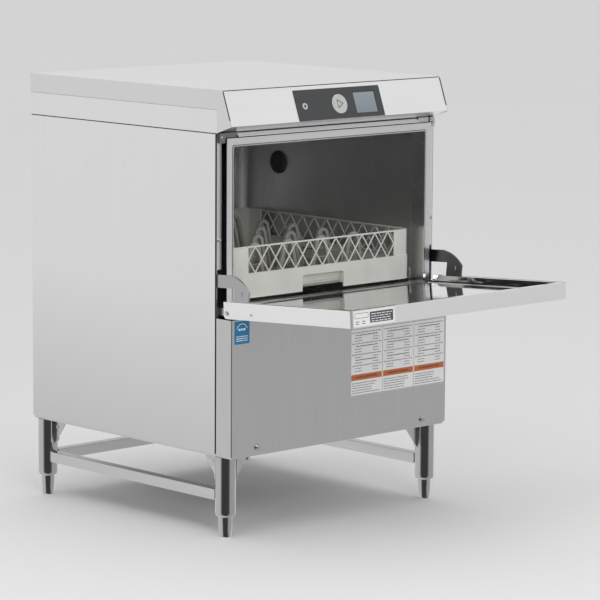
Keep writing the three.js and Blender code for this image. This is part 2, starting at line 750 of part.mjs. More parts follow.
function doorSkin() {
  const outer = alongY(roundRect(-HALF_WIDTH, HALF_WIDTH, DOOR_BOTTOM - 8, DOOR_TOP, 6), 0, DOOR_DEPTH)
    .intersect(alongX(doorEdge(0, 7, DOOR_DEPTH + 9), -400, 400));
  const inner = alongY(roundRect(-HALF_WIDTH + SHEET, HALF_WIDTH - SHEET, DOOR_BOTTOM - 30,
    DOOR_TOP - SHEET, 4.5), SHEET, DOOR_DEPTH + 9)
    .intersect(alongX(doorEdge(SHEET, 5.5, DOOR_DEPTH + 20), -400, 400));
  const inside = HALF_WIDTH - SHEET;
  const low = box(-inside, inside, 19, 60, DOOR_BOTTOM - 5, DOOR_BOTTOM + 6);
  const tools = [inner, low];
  for (const side of [-1, 1]) {
    const x = side * 293;
    tools.push(box(x - 4.5, x + 4.5, 2, 60, DOOR_BOTTOM - 5, DOOR_BOTTOM + 6));
    tools.push(pinBore(side));
  }
  return opened(cut(outer, ...tools));
}

function pinBore(side) {
  return disc(4.1, -30, 30, 16).rotate([0, 90, 0]).translate([side * 300, HINGE_Y, HINGE_Z]);
}

// Half of the inner panel's section, from the middle out, as [x, y] on its inner face.
const PAN_SECTION = [
  [0, PAN_Y], [266, PAN_Y], [269, PAN_Y + 3], [272, PAN_Y + 3], [274, PAN_Y],
  [278, PAN_Y], [280, PAN_Y + 5], [284, PAN_Y + 5], [287, DOOR_DEPTH - 0.2],
  [296, DOOR_DEPTH - 0.2],
];

function panSheet(x0, x1) {
  const face = PAN_SECTION.filter(([x]) => x >= x0 && x <= x1);
  const back = face.map(([x, y]) => [x, y - SHEET]).reverse();
  return outline([...face, ...back]);
}

function doorInnerPanel() {
  const top = DOOR_TOP - SHEET - GAP;
  const bottom = DOOR_BOTTOM + SHEET + GAP;
  const right = alongZ(panSheet(0, 300), bottom, top);
  const sheet = join(right, mirrored(right));
  const rim = alongX([
    [PAN_Y - SHEET, top - 16], [PAN_Y, top - 16], [DOOR_DEPTH - 0.2, top - 11],
    [DOOR_DEPTH - 0.2, top], [DOOR_DEPTH - 0.2 - SHEET, top],
    [DOOR_DEPTH - 0.2 - SHEET, top - 11 + SHEET], [PAN_Y - SHEET, top - 16 + SHEET],
  ], -294, 294);
  const hem = box(-286, 286, 10, PAN_Y - 0.5, bottom, bottom + SHEET);
  const notches = [-1, 1].map((side) => box(
    Math.min(side * 287, side * 320), Math.max(side * 287, side * 320),
    0, 60, DOOR_BOTTOM - 5, HINGE_Z + 10));
  return opened(cut(join(sheet, rim, hem), ...notches));
}

function hingeBracket() {
  const shape = new THREE.Shape();
  shape.moveTo(58, 447);
  shape.lineTo(58, 462);
  shape.lineTo(HINGE_Y, 462.5);
  shape.absarc(HINGE_Y, HINGE_Z, 7.5, Math.PI / 2, 1.5 * Math.PI, false);
  shape.lineTo(HINGE_Y, 447.5);
  const plate = alongX(shape, 291, 295);
  const foot = box(291, 301.2, 52, 58, 400, 462);
  return cut(join(plate, foot), pinBore(1));
}

function hingePin() {
  const shank = disc(3.8, 288, 303.6, 16);
  const head = disc(6, 286, 289.5, 16);
  return join(shank, head).rotate([0, 90, 0]).translate([0, HINGE_Y, HINGE_Z]);
}

// The arm in the closed door's frame: a plate in the door and a bent finger reaching inwards.
function doorArm() {
  const reach = [
    [-45, 50], [19.7, 50], [13.4, 14], [66, 14], [57.3, 24], [60.6, 43.7],
  ];
  const arc = [];
  for (let i = 0; i <= 8; i += 1) {
    const a = THREE.MathUtils.degToRad(36 + i * 5.6);
    arc.push([75.5 * Math.cos(a), 75.5 * Math.sin(a)]);
  }
  const finger = [...reach, ...arc, [10, 75.5], [-45, 75.5]];
  const placed = finger.map(([out, into]) => [HINGE_Y + into, HINGE_Z + out]);
  const bent = alongX(placed, 297.5, 301.5);
  const plate = box(297.5, 301.5, 3, 31, HINGE_Z - 8, HINGE_Z + 76);
  const slot = alongX(roundRect(HINGE_Y + 33.5, HINGE_Y + 44.5, HINGE_Z + 39.8, HINGE_Z + 44.2, 2.1),
    290, 310);
  const shape = cut(join(bent, plate), pinBore(1), slot);
  return opened(shape);
}

// ---- rack ----

// One side's lattice: whole diamonds as high as the window, with triangles above and below.
function latticeHoles(z0, z1) {
  const holes = [];
  const pitch = (2 * WINDOW_HALF) / DIAMONDS;
  const middle = (z0 + z1) / 2;
  const rise = (z1 - z0) / 2;
  const bar = 1.5;
  const slant = Math.hypot(pitch / 2, rise);
  const dx = (bar * slant) / rise;
  const dz = (bar * slant) / (pitch / 2);
  for (let i = 0; i < DIAMONDS; i += 1) {
    const x = -WINDOW_HALF + (i + 0.5) * pitch;
    holes.push([
      [x - pitch / 2 + dx, middle], [x, z0 + dz], [x + pitch / 2 - dx, middle], [x, z1 - dz],
    ]);
  }
  for (let i = 0; i <= DIAMONDS; i += 1) {
    const x = -WINDOW_HALF + i * pitch;
    const left = i === 0 ? x : x - pitch / 2 + dx;
    const right = i === DIAMONDS ? x : x + pitch / 2 - dx;
    holes.push([[left, z0], [right, z0], [x, middle - dz]]);
    holes.push([[left, z1], [x, middle + dz], [right, z1]]);
  }
  return holes;
}

function rackSide() {
  const x = RACK_HALF - 12;
  const wall = box(-x, x, 0, RACK_WALL, RACK_BAND - 4, RACK_TOP);
  const holes = latticeHoles(RACK_BAND, RACK_TOP - 3);
  const lattice = cut(wall, ...holes.map((hole) => alongY(outline(hole), -1, 9)));
  const rim = box(-x + 2, x - 2, 1, 5, RACK_TOP - 2.8, RACK_TOP);
  return join(lattice, rim);
}

function rackSides() {
  const side = rackSide().translate([0, -RACK_HALF, 0]);
  return join(...[0, 90, 180, 270].map((turn) => side.rotate([0, 0, turn])));
}

function rackCorners() {
  const high = alongZ(roundRect(-RACK_HALF, RACK_HALF, -RACK_HALF, RACK_HALF, 14),
    RACK_BAND - 4, RACK_TOP);
  const hollow = alongZ(roundRect(-RACK_HALF + 3, RACK_HALF - 3, -RACK_HALF + 3, RACK_HALF - 3, 11),
    RACK_BAND - 9, RACK_TOP + 9);
  const keep = RACK_HALF - 16;
  const arms = [box(-keep, keep, -300, 300, 0, 900), box(-300, 300, -keep, keep, 0, 900)];
  return cut(high, hollow, ...arms);
}

function rackBand() {
  const half = RACK_HALF + 2;
  const outer = alongZ(roundRect(-half, half, -half, half, 16), RACK_BOTTOM, RACK_BAND);
  const inner = alongZ(roundRect(-half + 4, half - 4, -half + 4, half - 4, 12),
    RACK_BOTTOM - 5, RACK_BAND + 5);
  const step = alongZ(roundRect(-half + 1, half - 1, -half + 1, half - 1, 15),
    RACK_BAND - 4.5, RACK_BAND - 2.5);
  const stepHole = alongZ(roundRect(-half + 8, half - 8, -half + 8, half - 8, 9),
    RACK_BAND - 9, RACK_BAND + 9);
  return cut(join(cut(outer, inner), cut(step, stepHole), rackFloor()), ...gripPockets());
}

// The space for a hand in the middle of each side.
function gripPockets() {
  const front = -RACK_HALF - 11;
  const pocket = box(-58, 58, front, front + 25, RACK_BOTTOM - 9, RACK_BOTTOM + 33);
  return [0, 90, 180, 270].map((turn) => pocket.rotate([0, 0, turn]));
}

function rackGrips() {
  const parts = [];
  const half = RACK_HALF + 2;
  for (let i = 0; i < 4; i += 1) {
    const back = box(-62, 62, -half + 14, -half + 17, RACK_BOTTOM + 6, RACK_BOTTOM + 37);
    const ceiling = box(-62, 62, -half + 1, -half + 17, RACK_BOTTOM + 33, RACK_BOTTOM + 37);
    const cheeks = [-1, 1].map((side) => box(side * 60 - 2, side * 60 + 2,
      -half + 1, -half + 17, RACK_BOTTOM + 6, RACK_BOTTOM + 37));
    parts.push(join(back, ceiling, ...cheeks).rotate([0, 0, i * 90]));
  }
  return join(...parts);
}

function rackFloor() {
  const bars = [];
  for (let i = 0; i < 6; i += 1) {
    const x = (i - 2.5) * FINGER_PITCH_X;
    bars.push(box(x - 2, x + 2, -249.5, 249.5, RACK_BOTTOM + 8, RACK_BOTTOM + 12));
  }
  for (let j = 0; j < 5; j += 1) {
    const y = FINGER_FIRST + j * FINGER_PITCH_Y;
    bars.push(box(-249.5, 249.5, y - 2, y + 2, RACK_BOTTOM + 8, RACK_BOTTOM + 12));
  }
  return join(...bars);
}

function rackFinger() {
  const top = RACK_TOP - FINGER_DROP - FINGER_CROWN;
  const bottom = RACK_BOTTOM + 9;
  const hollow = FINGER_CROWN - FINGER_WALL;
  const shape = new THREE.Shape();
  shape.moveTo(-FINGER_FOOT, bottom);
  shape.lineTo(FINGER_FOOT, bottom);
  shape.lineTo(FINGER_CROWN, top);
  shape.absarc(0, top, FINGER_CROWN, 0, Math.PI, false);
  const hole = new THREE.Path();
  hole.moveTo(-FINGER_FOOT + FINGER_WALL + 2, bottom + 5);
  hole.lineTo(-hollow, top);
  hole.absarc(0, top, hollow, Math.PI, 0, true);
  hole.lineTo(FINGER_FOOT - FINGER_WALL - 2, bottom + 5);
  shape.holes.push(hole);
  return alongY(shape, -4, 4, 3);
}

function dishRack() {
  const fingers = [];
  for (let i = 0; i < 4; i += 1) {
    const x = (i - 1.5) * FINGER_PITCH_X;
    for (let j = 0; j < 5; j += 1) {
      fingers.push(rackFinger().translate([x, FINGER_FIRST + j * FINGER_PITCH_Y, 0]));
    }
  }
  return join(rackSides(), rackCorners(), rackBand(), rackGrips(), ...fingers)
    .translate([0, RACK_FRONT_Y + RACK_HALF, 0]);
}

// ---- stand ----

function gusset(x, y, runsAcross, dir) {
  const near = LEG_RADIUS + 0.8;
  const top = RAIL_BOTTOM + 3;
  const low = top - GUSSET_DROP;
  const far = near + GUSSET_REACH;
  const t = 1.2;
  const points = [[near, low], [near + 3, low], [far, top - 2], [far, top], [near, top]];
  const side = points.map(([a, z]) => [a * dir, z]);
  const plate = runsAcross ? alongY(outline(side), -t, t) : alongX(side, -t, t);
  const flange = runsAcross
    ? box(near * dir - t, near * dir + t, -9, 9, low + 2, top)
    : box(-9, 9, near * dir - t, near * dir + t, low + 2, top);
  return join(plate, flange.translate(runsAcross ? [dir * t, 0, 0] : [0, dir * t, 0]))
    .translate([x, y, 0]);
}

function legPlaces() {
  const places = [];
  for (const side of [-1, 1]) {
    for (const y of [LEG_FRONT_Y, LEG_BACK_Y]) {
      places.push([side * LEG_X, y]);
    }
  }
  return places;
}

function baseFrame() {
  const z0 = RAIL_BOTTOM;
  const z1 = BODY_BOTTOM - GAP;
  const x = HALF_WIDTH - 4;
  const rails = cut(
    box(-x, x, 4, BACK_Y - 4, z0, z1),
    box(-x + 34, x - 34, 38, BACK_Y - 38, z0 - 9, z1 + 9));
  const parts = [rails];
  for (const [legX, legY] of legPlaces()) {
    const inwardX = -Math.sign(legX);
    const inwardY = legY === LEG_FRONT_Y ? 1 : -1;
    parts.push(gusset(legX, legY, true, inwardX));
    parts.push(gusset(legX, legY, false, inwardY));
  }
  return join(...parts);
}

function leg() {
  return turned([
    [0, LEG_BOTTOM], [13, LEG_BOTTOM], [18.2, LEG_BOTTOM + 2.5], [LEG_RADIUS, LEG_BOTTOM + 9],
    [LEG_RADIUS, RAIL_BOTTOM - GAP], [0, RAIL_BOTTOM - GAP],
  ], 24).subtract(disc(7.4, 0, LEG_BOTTOM + 62, 12));
}

function foot() {
  const cone = turned([
    [0, 0], [10.6, 0], [11.8, 1.4], [13.8, 30], [13.8, LEG_BOTTOM - GAP], [0, LEG_BOTTOM - GAP],
  ], 18);
  const flats = turned([[0, -1], [12.1, -1], [16.6, 29], [16.6, 60], [0, 60]], 6);
  const stem = disc(7, LEG_BOTTOM - 2, LEG_BOTTOM + 58, 10);
  return join(cone.intersect(flats), stem);
}

function braceAlongY() {
  const r = LEG_RADIUS + GAP;
  const h = BRACE_SIZE / 2;
  return box(-h, h, LEG_FRONT_Y + r, LEG_BACK_Y - r, BRACE_Z - h, BRACE_Z + h);
}

function braceAlongX() {
  const r = LEG_RADIUS + GAP;
  const h = BRACE_SIZE / 2;
  return box(-LEG_X + r, LEG_X - r, LEG_BACK_Y - h, LEG_BACK_Y + h, BRACE_Z - h, BRACE_Z + h);
}

// ---- the object ----

add("hood_cover", hoodCover(), STEEL_LIGHT);
add("fascia_panel", fasciaPanel(), STEEL_LIGHT);
add("control_bezel", controlBezel(), BLACK);
add("display_window", displayWindow(), GLASS);
add("start_button", startButton(), BUTTON);
add("power_button", powerButton(), PLASTIC);
add("control_box", controlBox(), PLASTIC);
add("side_panel_right", sidePanel(), STEEL);
add("side_panel_left", mirrored(sidePanel()), STEEL);
add("rear_panel", rearPanel(), STEEL);
add("lower_front_panel", lowerFrontPanel(), STEEL);
add("base_pan", basePan(), STEEL_DARK);
add("top_rail", topRail(), STEEL_LIGHT);
add("latch_right", latch(), STEEL_DARK);
add("latch_left", mirrored(latch()), STEEL_DARK);
add("wash_tub", washTub(), STEEL_DARK);
add("tub_front", tubFront(), STEEL_LIGHT);
add("wall_fitting", wallFitting(), RUBBER);
add("rack_guide_right", rackGuide(), STEEL_DARK);
add("rack_guide_left", mirrored(rackGuide()), STEEL_DARK);
add("strainer", strainer(), STEEL);
add("tank_heater", tankHeater(), COPPER);
add("lower_spindle", spindle(true), STEEL_DARK);
add("lower_wash_arm", washArm(true), STEEL);
add("lower_rinse_arm", rinseArm(true), STEEL);
add("upper_spindle", spindle(false), STEEL_DARK);
add("upper_wash_arm", washArm(false), STEEL);
add("upper_rinse_arm", rinseArm(false), STEEL);
add("pump_volute", pumpVolute(), PLASTIC);
add("pump_impeller", pumpImpeller(), STEEL_DARK);
add("pump_motor", pumpMotor(), MOTOR);
add("suction_hose", suctionHose(), RUBBER);
add("wash_pipe", washPipe(), STEEL_DARK);
add("booster_tank", boosterTank(), STEEL);
add("drain_pump", drainPump(), PLASTIC);
add("water_inlet", waterInlet(), COPPER);
add("drain_outlet", drainOutlet(), PLASTIC);
add("cable_gland", cableGland(), RUBBER);
add("door_skin", doorSkin(), STEEL_LIGHT);
add("door_inner_panel", doorInnerPanel(), MIRROR);
add("hinge_bracket_right", hingeBracket(), STEEL_DARK);
add("hinge_bracket_left", mirrored(hingeBracket()), STEEL_DARK);
add("hinge_pin_right", hingePin(), STEEL_DARK);
add("hinge_pin_left", mirrored(hingePin()), STEEL_DARK);
add("door_arm_right", doorArm(), STEEL);
add("door_arm_left", mirrored(doorArm()), STEEL);
add("dish_rack", dishRack(), CREAM);
add("base_frame", baseFrame(), STEEL);
for (const [index, [x, y]] of legPlaces().entries()) {
  const place = ["front_left", "back_left", "front_right", "back_right"][index];
  add("leg_" + place, leg().translate([x, y, 0]), STEEL);
  add("foot_" + place, foot().translate([x, y, 0]), STEEL_DARK);
}
add("brace_left", braceAlongY().translate([-LEG_X, 0, 0]), STEEL_LIGHT);
add("brace_right", braceAlongY().translate([LEG_X, 0, 0]), STEEL_LIGHT);
add("brace_rear", braceAlongX(), STEEL_LIGHT);

export default group;
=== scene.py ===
"""Looks of an undercounter commercial dishwasher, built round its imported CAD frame. Metres, +Z up."""

import json
import math
import random

import bmesh
import bpy
from mathutils import Matrix, Vector


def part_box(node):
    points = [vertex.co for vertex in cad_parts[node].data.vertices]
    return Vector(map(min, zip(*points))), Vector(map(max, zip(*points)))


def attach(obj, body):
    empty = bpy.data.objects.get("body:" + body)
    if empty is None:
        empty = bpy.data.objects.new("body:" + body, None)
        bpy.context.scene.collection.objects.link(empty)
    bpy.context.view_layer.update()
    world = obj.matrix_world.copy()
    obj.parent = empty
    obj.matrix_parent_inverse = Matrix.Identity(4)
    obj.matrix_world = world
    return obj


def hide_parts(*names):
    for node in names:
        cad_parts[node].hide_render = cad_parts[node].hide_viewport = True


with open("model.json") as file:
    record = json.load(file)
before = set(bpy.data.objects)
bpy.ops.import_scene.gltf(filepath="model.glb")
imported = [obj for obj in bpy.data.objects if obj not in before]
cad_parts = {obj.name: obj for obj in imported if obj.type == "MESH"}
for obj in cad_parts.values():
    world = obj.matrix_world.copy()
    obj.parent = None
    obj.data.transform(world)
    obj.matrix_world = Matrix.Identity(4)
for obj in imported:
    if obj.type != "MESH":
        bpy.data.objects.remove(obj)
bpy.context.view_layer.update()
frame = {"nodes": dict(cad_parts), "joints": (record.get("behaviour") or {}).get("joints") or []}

MM = 0.001
UP = Vector((0, 0, 1))
FRONT = Vector((0, -1, 0))
BACK = Vector((0, 1, 0))
LEFT = Vector((-1, 0, 0))
RIGHT = Vector((1, 0, 0))

# The photograph's view: degrees round and above the object, and metres away from the aim point
VIEW_AZIMUTH = -43.4
VIEW_ELEVATION = 8.3
VIEW_DISTANCE = 6.684
VIEW_ROLL = 0.355
VIEW_LENS = 187.8
VIEW_AIM = Vector((0.1644, 0.142, 0.4055))

# How bright the studio is, by direction from the machine. The last two lie below the horizon.
STUDIO_PALE = 0.80
STUDIO_VIEWER_SIDE = 0.06
STUDIO_LOW_RIGHT = 0.50
STUDIO_LOW_LEFT = 0.72

KEY_POWER = 30
FILL_POWER = 48

# Grain of brushed sheet: how fast the pattern changes along X, Y and Z
GRAIN_UP = (1, 1, 0.012)
GRAIN_ACROSS = (0.012, 1, 1)
GRAIN_DEEP = (1, 0.012, 1)
NO_GRAIN = (1, 1, 1)

# Shapes that are easier to draw in millimetres get a place that ends with this
IN_MM = Matrix.Scale(MM, 4)
SIDES = ((-1, "left"), (1, "right"))

# Levels of the body: painted shade darkens the side sheets from one height down to the other
BODY_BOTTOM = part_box("side_panel_left")[0][2]
FOOT_SHADE_FROM = 500 * MM
SILL_TOP = 466 * MM

DOORWAY_HALF = 268.5 * MM
DOORWAY_BOTTOM = 462 * MM
DOORWAY_TOP = 780 * MM
SEAM_WIDTH = 4.4 * MM
SEAM_RAISE = 0.35 * MM

# Where the screws and the latches' rollers sit
PANEL_SCREW_X = 233.6 * MM
PANEL_SCREW_RISE = 13 * MM
JAMB_SCREW_X = 296.8 * MM
JAMB_SCREW_Z = 597 * MM
GUSSET_SCREW_REACH = 34 * MM
GUSSET_SCREW_Z = 148 * MM
GUSSET_FACE = 1.2 * MM
BACK_SCREW_END = 30 * MM
BACK_SCREW_SIDE = 9 * MM
BACK_SCREW_TOP = 12 * MM
ROLLER_X = 294 * MM
ROLLER_Z = 799 * MM

# Stickers: how far their face stands off the panel, and where they are
STICKER_LIFT = 0.16 * MM
SHEET_LEFT = 24 * MM
SHEET_BOTTOM = 252 * MM
SHEET_SIZE_MM = (274.5, 138)
BLUE_LABEL_X = -276 * MM
BLUE_LABEL_Z = 416 * MM
DATA_PLATE_X = -243.5 * MM
DATA_PLATE_RISE = 17 * MM


# ---- materials ----

class Look:
    """A Principled material whose colour, roughness and relief come from layers of noise."""

    def __init__(self, name, metallic=0.0, **sockets):
        self.material = bpy.data.materials.new(name)
        self.material.use_nodes = True
        self.tree = self.material.node_tree
        self.shader = self.tree.nodes["Principled BSDF"]
        self.shader.inputs["Metallic"].default_value = metallic
        for socket, value in sockets.items():
            self.shader.inputs[socket.replace("_", " ")].default_value = value
        self.place = self.add("TexCoord").outputs["Object"]
        self.normal = None

    def add(self, kind):
        return self.tree.nodes.new("ShaderNode" + kind)

    def link(self, source, target):
        self.tree.links.new(source, target)

    def noise(self, stretch, detail, distortion=0.0):
        """Noise from 0 to 1 with that many features a metre along X, Y and Z."""
        mapping = self.add("Mapping")
        mapping.inputs["Scale"].default_value = stretch
        self.link(self.place, mapping.inputs["Vector"])
        noise = self.add("TexNoise")
        noise.inputs["Scale"].default_value = 1.0
        noise.inputs["Detail"].default_value = detail
        noise.inputs["Distortion"].default_value = distortion
        self.link(mapping.outputs["Vector"], noise.inputs["Vector"])
        return noise.outputs["Fac"]

    def remap(self, value, low, high, to_low=0.0, to_high=1.0):
        node = self.add("MapRange")
        self.link(value, node.inputs["Value"])
        for socket, number in zip(("From Min", "From Max", "To Min", "To Max"),
                                  (low, high, to_low, to_high)):
            node.inputs[socket].default_value = number
        return node.outputs["Result"]

    def math(self, operation, first, second):
        node = self.add("Math")
        node.operation = operation
        self.link(first, node.inputs[0])
        if isinstance(second, float):
            node.inputs[1].default_value = second
        else:
            self.link(second, node.inputs[1])
        return node.outputs[0]

    def blend(self, factor, first, second):
        """Mixes two colours; each is a linear (r, g, b) or another node's output."""
        node = self.add("Mix")
        node.data_type = "RGBA"
        self.link(factor, node.inputs["Factor"])
        for socket, color in ((node.inputs[6], first), (node.inputs[7], second)):
            if isinstance(color, tuple):
                socket.default_value = (*color, 1.0)
            else:
                self.link(color, socket)
        return node.outputs[2]

    def part_of(self, vector, axis):
        split = self.add("SeparateXYZ")
        self.link(vector, split.inputs["Vector"])
        return split.outputs[axis]

    def mottled(self, noise, low, high, color, dark, light):
        """The colour times dark where the noise is low, and times light where it is high."""
        return self.blend(self.remap(noise, low, high), shade_of(color, dark), shade_of(color, light))

    def rubbed(self, tone, share, color, times):
        """The tone, worn on its edges towards that many times the colour."""
        return self.blend(self.math("MULTIPLY", self.edges(), share), tone, shade_of(color, times))

    def edges(self):
        """1 on outer edges and corners, 0 on flat stretches."""
        return self.remap(self.add("NewGeometry").outputs["Pointiness"], 0.505, 0.54)

    def relief(self, height, depth, strength):
        bump = self.add("Bump")
        bump.inputs["Distance"].default_value = depth
        bump.inputs["Strength"].default_value = strength
        self.link(height, bump.inputs["Height"])
        if self.normal is not None:
            self.link(self.normal, bump.inputs["Normal"])
        self.normal = bump.outputs["Normal"]

    def done(self, color, roughness):
        self.link(color, self.shader.inputs["Base Color"])
        self.link(roughness, self.shader.inputs["Roughness"])
        if self.normal is not None:
            self.link(self.normal, self.shader.inputs["Normal"])
        return self.material


def shade_of(color, times):
    return tuple(min(c * times, 1.0) for c in color)


def steel(name, color, roughness, grain=GRAIN_UP, streak=0.07, smudge=0.10, metallic=1.0,
          painted_foot_shade=1.0, painted_top_shade=1.0):
    """Brushed stainless sheet: fine grain, wider streaks, cloudy smudges and brighter worn edges.

    Painted shade: low on the body the tone falls to a given fraction of the colour, and on upward faces
    to another given fraction."""
    look = Look(name, metallic=metallic)
    fine = look.noise([850 * g for g in grain], detail=2)
    streaks = look.noise([260 * g for g in grain], detail=3)
    clouds = look.noise((3.2, 3.2, 3.2), detail=4, distortion=0.5)
    base = look.mottled(streaks, 0.3, 0.7, color, 1 - streak, 1 + streak)
    cloudy = look.blend(look.remap(clouds, 0.35, 0.75, 0, 0.6), base, shade_of(color, 0.93))
    # Painted shade: darker from a set height down to the bottom of the body.
    if painted_foot_shade != 1.0:
        foot_shade_mask = look.remap(look.part_of(look.place, "Z"), FOOT_SHADE_FROM, BODY_BOTTOM)
        cloudy = look.blend(foot_shade_mask, cloudy, shade_of(color, painted_foot_shade))
    # Painted shade: faces that point upwards are darkened.
    if painted_top_shade != 1.0:
        rise = look.part_of(look.add("NewGeometry").outputs["Normal"], "Z")
        cloudy = look.blend(look.remap(rise, 0.6, 0.9), cloudy, shade_of(color, painted_top_shade))
    worn = look.rubbed(cloudy, 0.5, color, 1.2)
    rough = look.remap(look.math("ADD", fine, look.math("MULTIPLY", clouds, 0.8)),
                       0.6, 1.2, roughness - smudge * 0.5, roughness + smudge * 0.5)
    look.relief(fine, 0.00003, 0.35)
    look.relief(streaks, 0.00006, 0.2)
    return look.done(worn, rough)


def polished(name, color, roughness, haze=0.08):
    """Polished steel: nearly a mirror, with faint wiping marks, water spots and a hazy film."""
    look = Look(name, metallic=1.0)
    film = look.noise((7, 7, 7), detail=5, distortion=0.8)
    wipes = look.noise((30, 240, 240), detail=2, distortion=0.6)
    spots = look.noise((160, 160, 160), detail=1)
    tone = look.mottled(film, 0.35, 0.7, color, 1.0, 0.9)
    spotted = look.blend(look.remap(spots, 0.7, 0.76, 0, 0.25), tone, shade_of(color, 1.15))
    marks = look.math("ADD", look.remap(film, 0.4, 0.75, 0, haze), look.remap(wipes, 0.5, 0.8, 0, haze))
    rough = look.remap(marks, 0.0, 1.0, roughness, roughness + 1.0)
    look.relief(wipes, 0.00002, 0.25)
    return look.done(spotted, rough)


def tub_steel(name, color, roughness):
    """Inside of the chamber: rolled sheet with chalky water marks that run down and gather low."""
    look = Look(name, metallic=1.0)
    runs = look.noise((45, 45, 1.6), detail=5, distortion=0.3)
    clouds = look.noise((5, 5, 5), detail=5, distortion=0.6)
    fine = look.noise((20, 700, 700), detail=2)
    tone = look.mottled(clouds, 0.3, 0.75, color, 0.85, 1.1)
    chalk = look.blend(look.remap(runs, 0.6, 0.8, 0, 0.35), tone, shade_of(color, 1.6))
    worn = look.rubbed(chalk, 0.6, color, 1.8)
    rough = look.remap(look.math("ADD", runs, clouds), 0.7, 1.4, roughness - 0.07, roughness + 0.12)
    look.relief(fine, 0.00003, 0.3)
    look.relief(clouds, 0.0004, 0.08)
    return look.done(worn, rough)


def doorway_steel(name, color, roughness, sleeve_painted_shade):
    """Bright steel on the doorway's front face and sill, with painted shade on its sleeve that makes it
    as dark as the chamber.
    """
    look = Look(name, metallic=1.0)
    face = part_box("tub_front")[0][1]
    behind = look.remap(look.part_of(look.place, "Y"), face + 2 * MM, face + 3 * MM)
    above = look.remap(look.part_of(look.place, "Z"), SILL_TOP, SILL_TOP + 2 * MM)
    sleeve = look.math("MULTIPLY", behind, above)
    streaks = look.noise((3, 240, 240), detail=3)
    clouds = look.noise((6, 6, 6), detail=4, distortion=0.5)
    sheen = look.mottled(streaks, 0.3, 0.7, color, 0.95, 1.04)
    # Painted shade: the sleeve is darkened to a share of the colour.
    tone = look.blend(sleeve, sheen, shade_of(color, sleeve_painted_shade))
    worn = look.rubbed(tone, 0.4, color, 1.1)
    look.relief(streaks, 0.00004, 0.2)
    return look.done(worn, look.remap(clouds, 0.3, 0.7, roughness - 0.04, roughness + 0.06))


def plastic(name, color, roughness, texture=0.15, pale=1.25, **sockets):
    """Moulded plastic or rubber: faint mottling, a fine moulded texture and rubbed edges."""
    look = Look(name, **sockets)
    mottle = look.noise((22, 22, 22), detail=4, distortion=0.3)
    pores = look.noise((1500, 1500, 1500), detail=2)
    scuffs = look.noise((12, 90, 90), detail=5, distortion=1.0)
    tone = look.mottled(mottle, 0.3, 0.7, color, 0.93, 1.07)
    scuffed = look.blend(look.remap(scuffs, 0.62, 0.8, 0, 0.3), tone, shade_of(color, pale))
    rubbed = look.rubbed(scuffed, 0.4, color, pale)
    rough = look.remap(look.math("ADD", mottle, scuffs), 0.6, 1.4, roughness - 0.06, roughness + 0.1)
    look.relief(pores, 0.00005, texture)
    return look.done(rubbed, rough)


def paper(name, color):
    """Printed film: almost flat colour with a faint ripple and a soft sheen."""
    look = Look(name)
    ripple = look.noise((18, 18, 18), detail=3)
    fibre = look.noise((600, 600, 600), detail=2)
    tone = look.mottled(ripple, 0.3, 0.7, color, 0.97, 1.02)
    rough = look.remap(fibre, 0.3, 0.7, 0.32, 0.42)
    look.relief(ripple, 0.0002, 0.1)
    return look.done(tone, rough)


def screen_glass(name):
    """The unlit display behind its glossy window, with a painted reflection that makes it a little
    brighter towards its top.
    """
    look = Look(name, Coat_Weight=1.0, Coat_Roughness=0.04)
    low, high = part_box("display_window")
    rise = look.remap(look.part_of(look.place, "Z"), low[2], high[2])
    dust = look.noise((250, 250, 250), detail=3)
    # Painted reflection: the tone brightens towards the display's top.
    tone = look.blend(rise, (0.200, 0.250, 0.285), (0.265, 0.325, 0.365))
    dusty = look.blend(look.remap(dust, 0.6, 0.8, 0, 0.1), tone, (0.5, 0.55, 0.6))
    return look.done(dusty, look.remap(dust, 0.3, 0.7, 0.14, 0.2))


